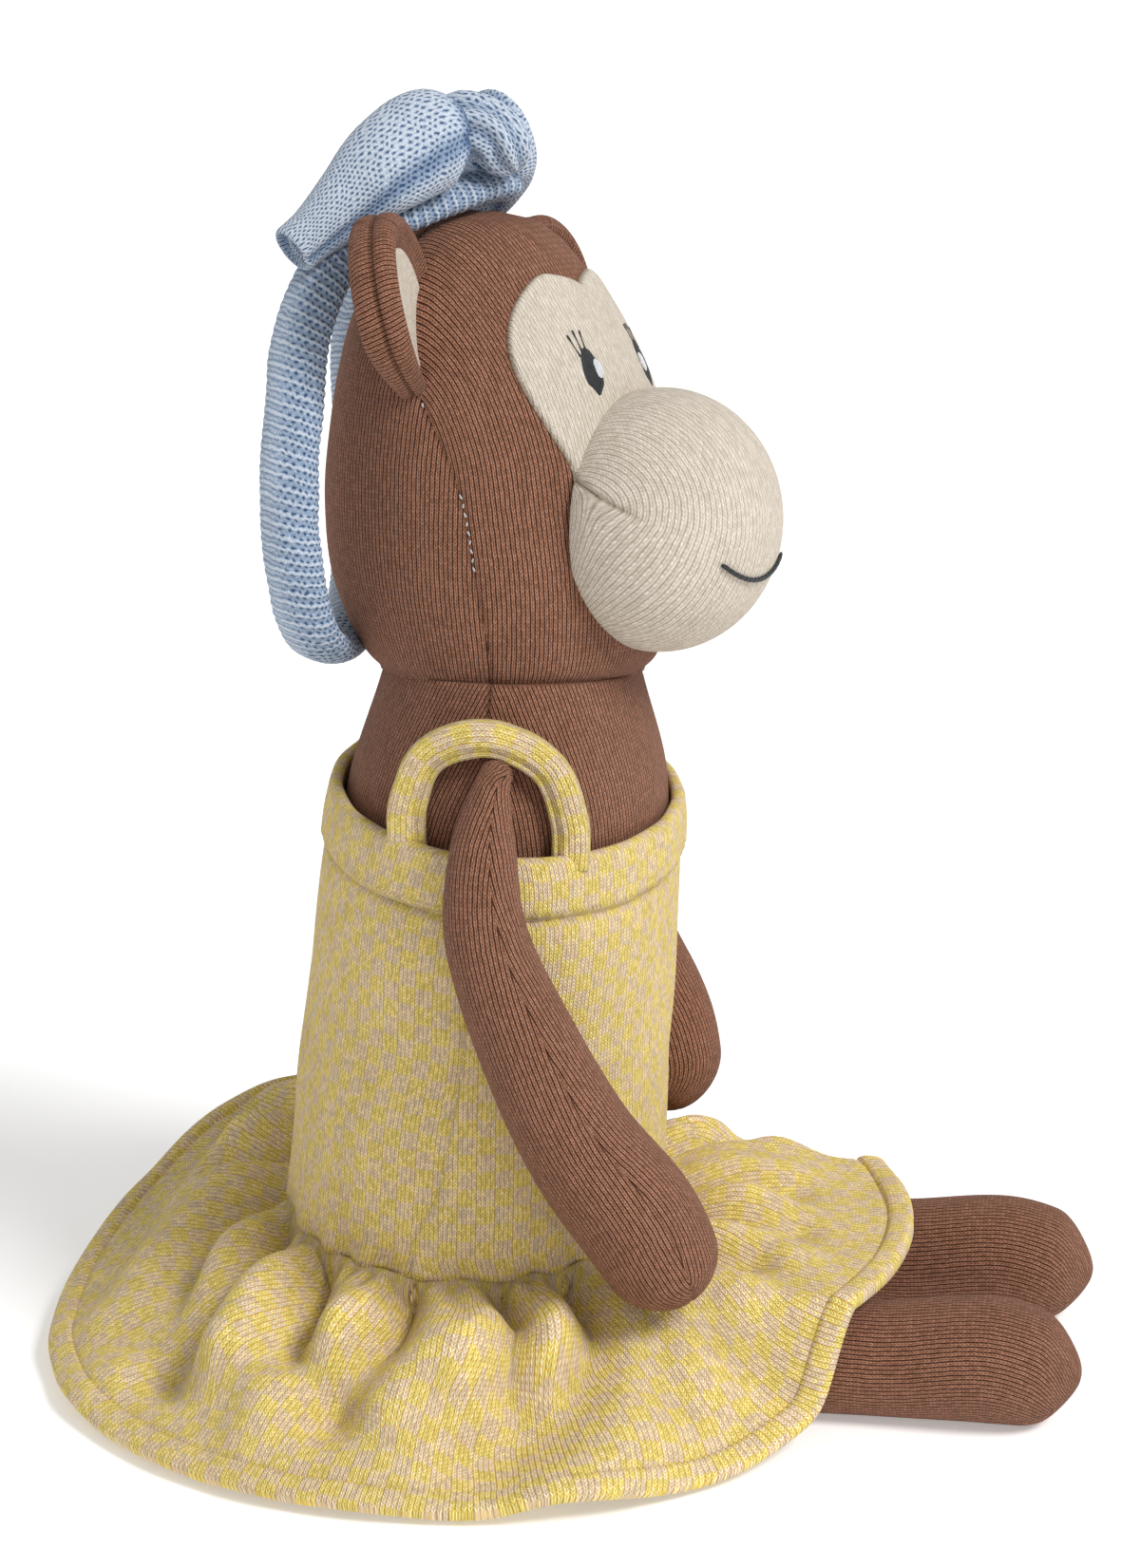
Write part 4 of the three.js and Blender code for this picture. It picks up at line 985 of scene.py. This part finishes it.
# Edge of the skirt: [degrees round from the left, distance out, height]
SKIRT_EDGE = [
    [-20, 115, 16], [15, 116, 28], [45, 113, 31], [68, 112, 18], [92, 114, 7], [120, 119, 3.5],
    [150, 119, 3.5], [180, 117, 3.5], [207, 116, 3.5], [228, 115, 5], [270, 118, 28], [315, 114, 15],
    [340, 115, 16],
]
SKIRT_LENGTH, SKIRT_HEM, SKIRT_HEM_CLOTH, SKIRT_PUFF = 72.0, 7.0, 5.0, 3.5
SKIRT_ROWS, SKIRT_COLUMNS, SKIRT_ROUND = 96, 620, 95

# Valleys of the gathers: depth, half width, then (degrees, share of the way to the edge)
VALLEYS = [
    (8.5, 4.6, (138, 0.0), (147, 0.21), (152, 0.36), (155, 0.62)),
    (7.5, 5.6, (114, 0.0), (123, 0.22), (129, 0.4), (132, 0.58), (139, 0.88)),
    (6.5, 6.8, (90, 0.0), (103, 0.3), (119, 0.52), (125, 0.86)),
    (8.0, 5.0, (170, 0.0), (172, 0.28), (168, 0.42), (165, 0.58), (167, 0.82)),
    (7.5, 3.8, (195, 0.0), (199, 0.21), (196, 0.38), (192, 0.62)),
    (8.0, 6.2, (217, 0.0), (216, 0.31), (209, 0.48), (199, 0.62), (189, 0.75), (178, 0.9)),
    (4.0, 4.4, (231, 0.0), (226, 0.38), (220, 0.58), (217, 0.8)),
    (5.0, 4.6, (246, 0.0), (248, 0.3), (252, 0.66)),
    (5.0, 5.0, (264, 0.0), (263, 0.3), (267, 0.7)),
    (5.0, 4.6, (284, 0.0), (281, 0.3), (278, 0.66)),
    (6.0, 4.6, (304, 0.0), (306, 0.3), (311, 0.7)),
    (7.5, 5.4, (324, 0.0), (322, 0.25), (327, 0.5), (331, 0.86)),
    (7.5, 4.6, (345, 0.0), (349, 0.25), (347, 0.6)),
    (8.0, 5.4, (6, 0.0), (4, 0.28), (9, 0.52), (13, 0.86)),
    (7.0, 4.6, (28, 0.0), (31, 0.25), (29, 0.62)),
    (7.5, 5.6, (49, 0.0), (46, 0.25), (51, 0.5), (56, 0.84)),
    (7.0, 4.6, (70, 0.0), (74, 0.26), (72, 0.62)),
]


def skirt_base(turn, share):
    """Middle of the skirt's cloth without its folds, and the height at which the legs hold it"""
    wide, deep, _ = torso_at(WAIST)
    out = WAIST_EASE + 0.5 * CLOTH
    waist_x, waist_y = (wide + out) * np.cos(turn), (deep + out) * np.sin(turn)
    degrees = np.degrees(turn) % 360
    edge = smooth_rows(SKIRT_EDGE, np.where(degrees > 340, degrees - 360, degrees))
    x = waist_x + share * (edge[..., 0] * np.cos(turn) - waist_x)
    y = waist_y + share * (edge[..., 0] * np.sin(turn) - waist_y)
    start = WAIST - 0.5 * CLOTH - 4 * GAP
    puff = SKIRT_PUFF * np.sin(math.pi * np.minimum(1, 1.4 * share)) * (1 - share)
    puff = puff * smooth_step(0, 0.25, share)
    drape = start + (edge[..., 1] - start) * np.maximum(share, 0) ** 1.05 + puff
    top = 2 * FOOT_RADIUS - FLAT + 0.5 * SKIRT_HEM_CLOTH + 2 * GAP
    lap = top * (1 - smooth_step(LEG_SPREAD + 12, LEG_SPREAD + 34, np.abs(x)))
    lap = lap * (1 - smooth_step(-LEG_FORWARD - 2, -15, y))
    soft = 3
    spread = np.maximum(0, 1 - np.abs(drape - lap) / (2 * soft))
    return np.stack([x, y, np.maximum(drape, lap) + 0.5 * soft * spread ** 2], -1), lap


def upward(normals):
    return normals * np.sign(normals[..., 2:] + 1e-9)


def valley_lift(points, share, depth, wide, marks):
    """Lift of the cloth by one valley and the crests on both sides of it"""
    marks = np.array(marks)
    count = 60
    dense = np.linspace(0, marks[-1, 1], count)
    angle = smooth_rows(np.column_stack([marks[:, 1], np.radians(marks[:, 0])]), dense)[:, 0]
    path, _ = skirt_base(angle, dense)
    distance = np.full(share.shape, 1e9)
    place = np.zeros(share.shape)
    for k in range(count):
        far = np.linalg.norm((points - path[k]) * [1, 1, 0.6], axis=-1)
        place = np.where(far < distance, k / (count - 1), place)
        distance = np.minimum(far, distance)
    across = distance / (wide * (0.72 + 1.25 * place))
    crest = (0.12 + 0.5 * smooth_step(0.03, 0.36, share)) * bell(across - 1.9, 1.1)
    return depth * smooth_step(1.0, 0.74, place) * (crest - 1.3 * bell(across, 1))


def skirt_surface():
    """The skirt's folded cloth: its middle, its normals, and each point's turn and share of the way out"""
    turn, share = np.broadcast_arrays(ring(SKIRT_COLUMNS), np.linspace(0, 1, SKIRT_ROWS)[:, None])
    points, lap = skirt_base(turn, share)
    lift = sum(valley_lift(points, share, depth, wide, marks) for depth, wide, *marks in VALLEYS)
    for _ in range(14):
        lift[1:-1] = 0.5 * lift[1:-1] + 0.25 * (lift[2:] + lift[:-2])
        lift = 0.5 * lift + 0.25 * (np.roll(lift, 1, 1) + np.roll(lift, -1, 1))
    crest = 2.4 * smooth_step(0.02, 0.38, share) * smooth_step(0.9, 0.38, share)
    lift = (lift + crest) * smooth_step(0, 0.08, share)
    tucks = 0.5 * np.sin(47 * turn + 2 * np.sin(7 * turn)) * smooth_step(0, 0.04, share)
    lift += tucks * smooth_step(0.26, 0.06, share)
    lift += 1.1 * noise(points, 38, 51) * smooth_step(0.1, 0.4, share)
    points = points + upward(grid_normals(points)) * lift[..., None]
    points[..., 2] += 1.3 * smooth_step(0.03, 0.0, share)
    points[..., 2] = np.maximum(points[..., 2], np.maximum(0.5 * CLOTH + 0.4, lap - 1.2))
    return points, upward(grid_normals(points)), turn, share


def skirt_maps(points, normals, turn, share):
    outward = np.stack([np.cos(turn), np.sin(turn), 0 * turn], -1)
    down = along_skin(outward, normals)
    weight = np.ones(turn.shape)
    weight[:, -1] = 0
    u = potential(points, np.cross(normals, down), SKIRT_ROUND * turn, weight, steps=200)
    v = potential(points, down, SKIRT_LENGTH * share, steps=200)
    pair = 2 * CHECK_WALES * WALE
    checks = round(SKIRT_ROUND * CIRCLE / pair) * pair
    u = (u - u[:, :1]) * np.sign(u[10, SKIRT_COLUMNS // 2] - u[10, 5])
    span = u[:, -1:] * SKIRT_COLUMNS / (SKIRT_COLUMNS - 1)
    return np.stack([u * checks / span, v], -1)


def build_skirt():
    points, normals, turn, share = skirt_surface()
    maps = skirt_maps(points, normals, turn, share)
    hem_share = 1 - SKIRT_HEM / SKIRT_LENGTH
    hem_row = round(hem_share * (SKIRT_ROWS - 1))

    def cloth(node, rows, half):
        part, out, place = points[rows], normals[rows] * half[..., None], share[rows]
        below = part - out
        below[..., 2] = np.maximum(below[..., 2], 0.02)
        # Painted shade at the waist seam and along the hem's fold.
        pit = 0.1 * bell(place * SKIRT_LENGTH, 1.2) + 0.08 * bell((place - hem_share) * SKIRT_LENGTH, 0.7)
        both = np.concatenate([part + out, below[::-1]])
        layer, pit = (np.concatenate([values, values[::-1]]) for values in (maps[rows], pit))
        parts = [skin(both, {"front": layer}, {"pit": pit}, loop_rows=True)]
        return piece(f"{node}_cloth", parts, checked_rows, "torso", node)

    skirt_rows, hem_rows = slice(0, hem_row + 1), slice(hem_row - 1, SKIRT_ROWS)
    thinned = 0.5 * CLOTH - 0.3 * smooth_step(hem_share - 0.03, hem_share, share[skirt_rows, :1])
    run = np.linspace(0, 1, SKIRT_ROWS - hem_row + 1)[:, None]
    puffed = np.sqrt(np.maximum(0, 1 - np.abs(2 * run - 1.02) ** 3))
    hem_half = 0.5 * SKIRT_HEM_CLOTH * (0.26 + 0.74 * puffed)
    return cloth("dress_skirt", skirt_rows, thinned), cloth("dress_skirt_hem", hem_rows, hem_half)


# The headband and its bow

BAND_WIDE, BAND_THICK, BAND_HALF, BAND_DROP, BAND_BACK, KNOT = 15.0, 8.0, 50.0, 198.0, 40.5, 324.0


def build_purl(name, node, points, u, v, relief=0.2, ribs=0.0, pit=0.0, calm=0.0):
    """A piece of the back of the knit, with a small hole where the strands of two rows part. u and v count
    stitches and rows. Where calm is 1 the strands run straight."""
    holes = np.maximum(0, -np.cos(CIRCLE * u) * np.sin(math.pi * v)) ** 1.5
    points = raised(points, ribs + relief * (1 - calm) * (0.3 - holes))
    # Painted shade: the shade number darkens the colour where given, and calm lightens it a little.
    numbers = {"pit": pit - 0.04 * calm + 0 * u, "calm": calm + 0 * u}
    parts = [skin(points, {"front": np.stack([u, v], -1)}, numbers)]
    piece(name, parts, blue_knit, "headband", node)


def leaning(x, y, z, *size):
    """The headband and its bow lean aside with the head"""
    return [x + math.tan(HEAD_LEAN) * (z - NECK), y, z, *size]


def band_half(side, leads):
    """Places of the band on one side from the bow down, where leads are the shares of its full set-back"""
    high = KNOT - 10
    rows = ((0.28, leads[0], high - 2), (0.54, leads[1], high - 8), (0.8, leads[2], high - 24),
            (0.97, 1, high - 48), (1, 1, high - 76), (0.78, 0.93, BAND_DROP + 14), (0.4, 0.88, BAND_DROP + 3))
    return [(side * across * BAND_HALF, lead * BAND_BACK, height) for across, lead, height in rows]


def build_headband():
    places = [(0.5, 0.1 * BAND_BACK, KNOT - 10), *band_half(1, (0, 0.32, 0.7)),
              (0, 0.87 * BAND_BACK, BAND_DROP), *band_half(-1, (0.38, 0.76, 0.96))[::-1]]
    stations = [leaning(*place, 0.5 * BAND_WIDE, 0.5 * BAND_THICK) for place in places]
    tube = Tube(stations, 104, 0.38, (0, 1, 0), closed=True)
    points = tube.points()
    inwards = np.cos(tube.turn)
    bend = 0.25 * noise(points, 26, 61) - 1.4 * inwards
    v = tube.along / tube.length * 2 * round(tube.length / 2.9) + bend
    wave = np.cos(math.pi * (v - 1.0))
    calm = smooth_step(-0.1, 0.7, inwards)
    strength = 1 - 0.5 * calm
    ribs = 0.2 * strength * wave + 0.4 * noise(points, 20, 62)
    # Painted shade between the ribs.
    build_purl("headband_knit", "headband", points, tube.turn / CIRCLE * 22, v, ribs=ribs,
               pit=0.3 * strength * (0.5 - 0.5 * wave), calm=calm)


def bow_stations(places):
    return [leaning(x, y, KNOT + rise, wide, thick) for x, y, rise, wide, thick in places]


def build_wing(name, places, sides, reference):
    """A wing of the bow: a tube that ends in a rolled tip"""
    tube = Tube(bow_stations(places), sides, 0.4, reference, round_start=6)
    fold = 0.9 * bell(tube.turn - 4.4 + 0.5 * tube.along / tube.length, 0.22)
    points = raised(tube.points(), -fold * smooth_step(0, 0.3, tube.scale)[:, None])
    radius = np.mean(tube.wide + tube.thick) / 2
    count = 2 * round(math.pi * radius / PURL_ROW)
    crease = smooth_step(9, 3.5, tube.along)
    inner = np.linspace(0.97, 0.04, 26)[:, None]
    away = 1 - inner
    last = tube.turn[:1]
    swirl = smooth_step(0.02, 0.3, away)
    spiral = np.cos(CIRCLE * 1.9 * away + last)
    out = (-2.6 * smooth_step(0, 0.35, away) * (1 - 0.35 * away) + spiral * swirl
           + 1.8 * np.sin(math.pi * np.clip(away / 0.34, 0, 1)))
    centre = tube.middle[-1]
    tip = centre + (points[-1][None] - centre) * inner[..., None] + tube.tangent[-1] * out[..., None]
    u = np.concatenate([tube.along, tube.along[-1:] + away * radius + 0 * last]) / PURL_STITCH
    v = np.concatenate([tube.turn, last + 0 * inner]) / CIRCLE * count
    fold = np.concatenate([fold, 0.8 * (0.5 - 0.5 * spiral) * swirl])
    crease = np.concatenate([crease, np.zeros(spiral.shape)]) * (0.75 + 0.25 * np.sin(4 * CIRCLE * v / count))
    # Painted shade in the wing's fold, in the rolled tip's spiral and in the crease by the knot.
    build_purl(f"{name}_knit", name, np.concatenate([points, tip]), u, v,
               pit=0.5 * np.clip(fold, 0, 1) + 0.9 * crease)


# Stations of the bow's parts: [x, y, height above the knot's middle, half width, half thickness]
RIGHT_WING = [[-8, 4, 5, 6, 5], [-16, 11, 6, 13, 9], [-25, 21, 1, 12.5, 7.5], [-31, 30, -7, 9.5, 6.5],
              [-37, 37.5, -13.5, 7, 6], [-41.5, 42, -17, 6.5, 5.5]]
LEFT_WING = [[3, 1, 1, 6, 5], [12, -1, 1, 12.5, 8.5], [22, 0, -6, 11.5, 7.5], [30, 3, -15, 8.5, 6.5],
             [35, 8, -23, 6.5, 5.5]]
BOW_KNOT = [[-3, -8, -5, 6.5, 6], [-4, -3, 4, 8.5, 7.5], [-4, 5, 7, 9, 8.5], [-3, 13, 3, 8.5, 7.5]]


def build_bow():
    build_wing("bow_right_wing", RIGHT_WING, 150, (0.25, 0.5, 1))
    build_wing("bow_left_wing", LEFT_WING, 140, (-0.2, 0.4, 1))
    tube = Tube(bow_stations(BOW_KNOT), 120, 0.35, (1, 0, 0), round_start=7, round_end=7)
    ribs = 0.8 * np.cos(7 * tube.turn + 0.9 * np.sin(0.35 * tube.along))
    ribs = ribs * smooth_step(0.2, 0.8, tube.scale)[:, None]
    # Painted shade between the knot's ribs.
    build_purl("bow_knot_knit", "bow_knot", tube.points(), tube.along / PURL_STITCH, tube.turn / CIRCLE * 48,
               relief=0.3, ribs=ribs, pit=0.25 * np.clip(-ribs, 0, 1))


SIDES = (-1, "right"), (1, "left")
build_torso()
head_grid = build_head()
for side, name in SIDES:
    build_seam_stitches(side, name)
build_face_patch(*head_grid)
build_muzzle()
build_smile()
for side, name in SIDES:
    build_eye(side, name)
    build_ear(side, name)
    build_leg(side, f"{name}_leg")
    build_strap(side, f"{name}_strap")
build_arm(-1, "right_arm", 1.0)
build_arm(1, "left_arm", 0.7)
bodice = build_bodice()
neck_hem = build_neck_hem()
skirt, skirt_hem = build_skirt()
build_headband()
build_bow()


# Floor, light and camera

def link(thing):
    bpy.context.scene.collection.objects.link(thing)
    return thing


def build_studio():
    shader = Shader("studio_floor")
    surface = shader.add("ShaderNodeBsdfPrincipled", {
        "Base Color": (0.93, 0.93, 0.93, 1), "Roughness": 0.9, "Specular IOR Level": 0.1,
        "Emission Color": (1, 1, 1, 1), "Emission Strength": 0.3})
    shader.add("ShaderNodeOutputMaterial", {"Surface": surface})
    mesh = bpy.data.meshes.new("studio_floor")
    size = 9.0
    corners = [(size * x, size * y, 0) for x, y in ((-1, -1), (1, -1), (1, 1), (-1, 1))]
    mesh.from_pydata(corners, [], [(0, 1, 2, 3)])
    mesh.materials.append(shader.material)
    link(bpy.data.objects.new("studio_floor", mesh))
    world = bpy.data.worlds.new("studio_world")
    bpy.context.scene.world = world
    world.use_nodes = True
    sky = world.node_tree.nodes["Background"].inputs
    sky["Color"].default_value = (1, 1, 1, 1)
    sky["Strength"].default_value = 0.47
    lamp = bpy.data.lights.new("key", "SUN")
    lamp.angle = math.radians(20)
    lamp.energy = 2.25
    key = link(bpy.data.objects.new("key", lamp))
    key.location = (-0.5, -0.95, 1.15)
    key.rotation_euler = (-key.location).to_track_quat("-Z", "Y").to_euler()
    bpy.context.scene.view_settings.view_transform = "Standard"


def build_camera():
    """The photograph's view: the focal length is 5513 of its 1651 pixels of height"""
    aim = Vector((0, -0.025, 0.16))
    azimuth, distance, height = math.radians(-82), 1.3, 0.618
    data = bpy.data.cameras.new("camera")
    data.sensor_width = 36
    data.lens = 5513 / 1651 * 36
    camera = link(bpy.data.objects.new("camera", data))
    camera.location = (aim.x + distance * math.sin(azimuth), aim.y - distance * math.cos(azimuth), height)
    camera.rotation_euler = (aim - camera.location).to_track_quat("-Z", "Y").to_euler()
    bpy.context.scene.camera = camera


build_studio()
build_camera()
bpy.context.view_layer.update()
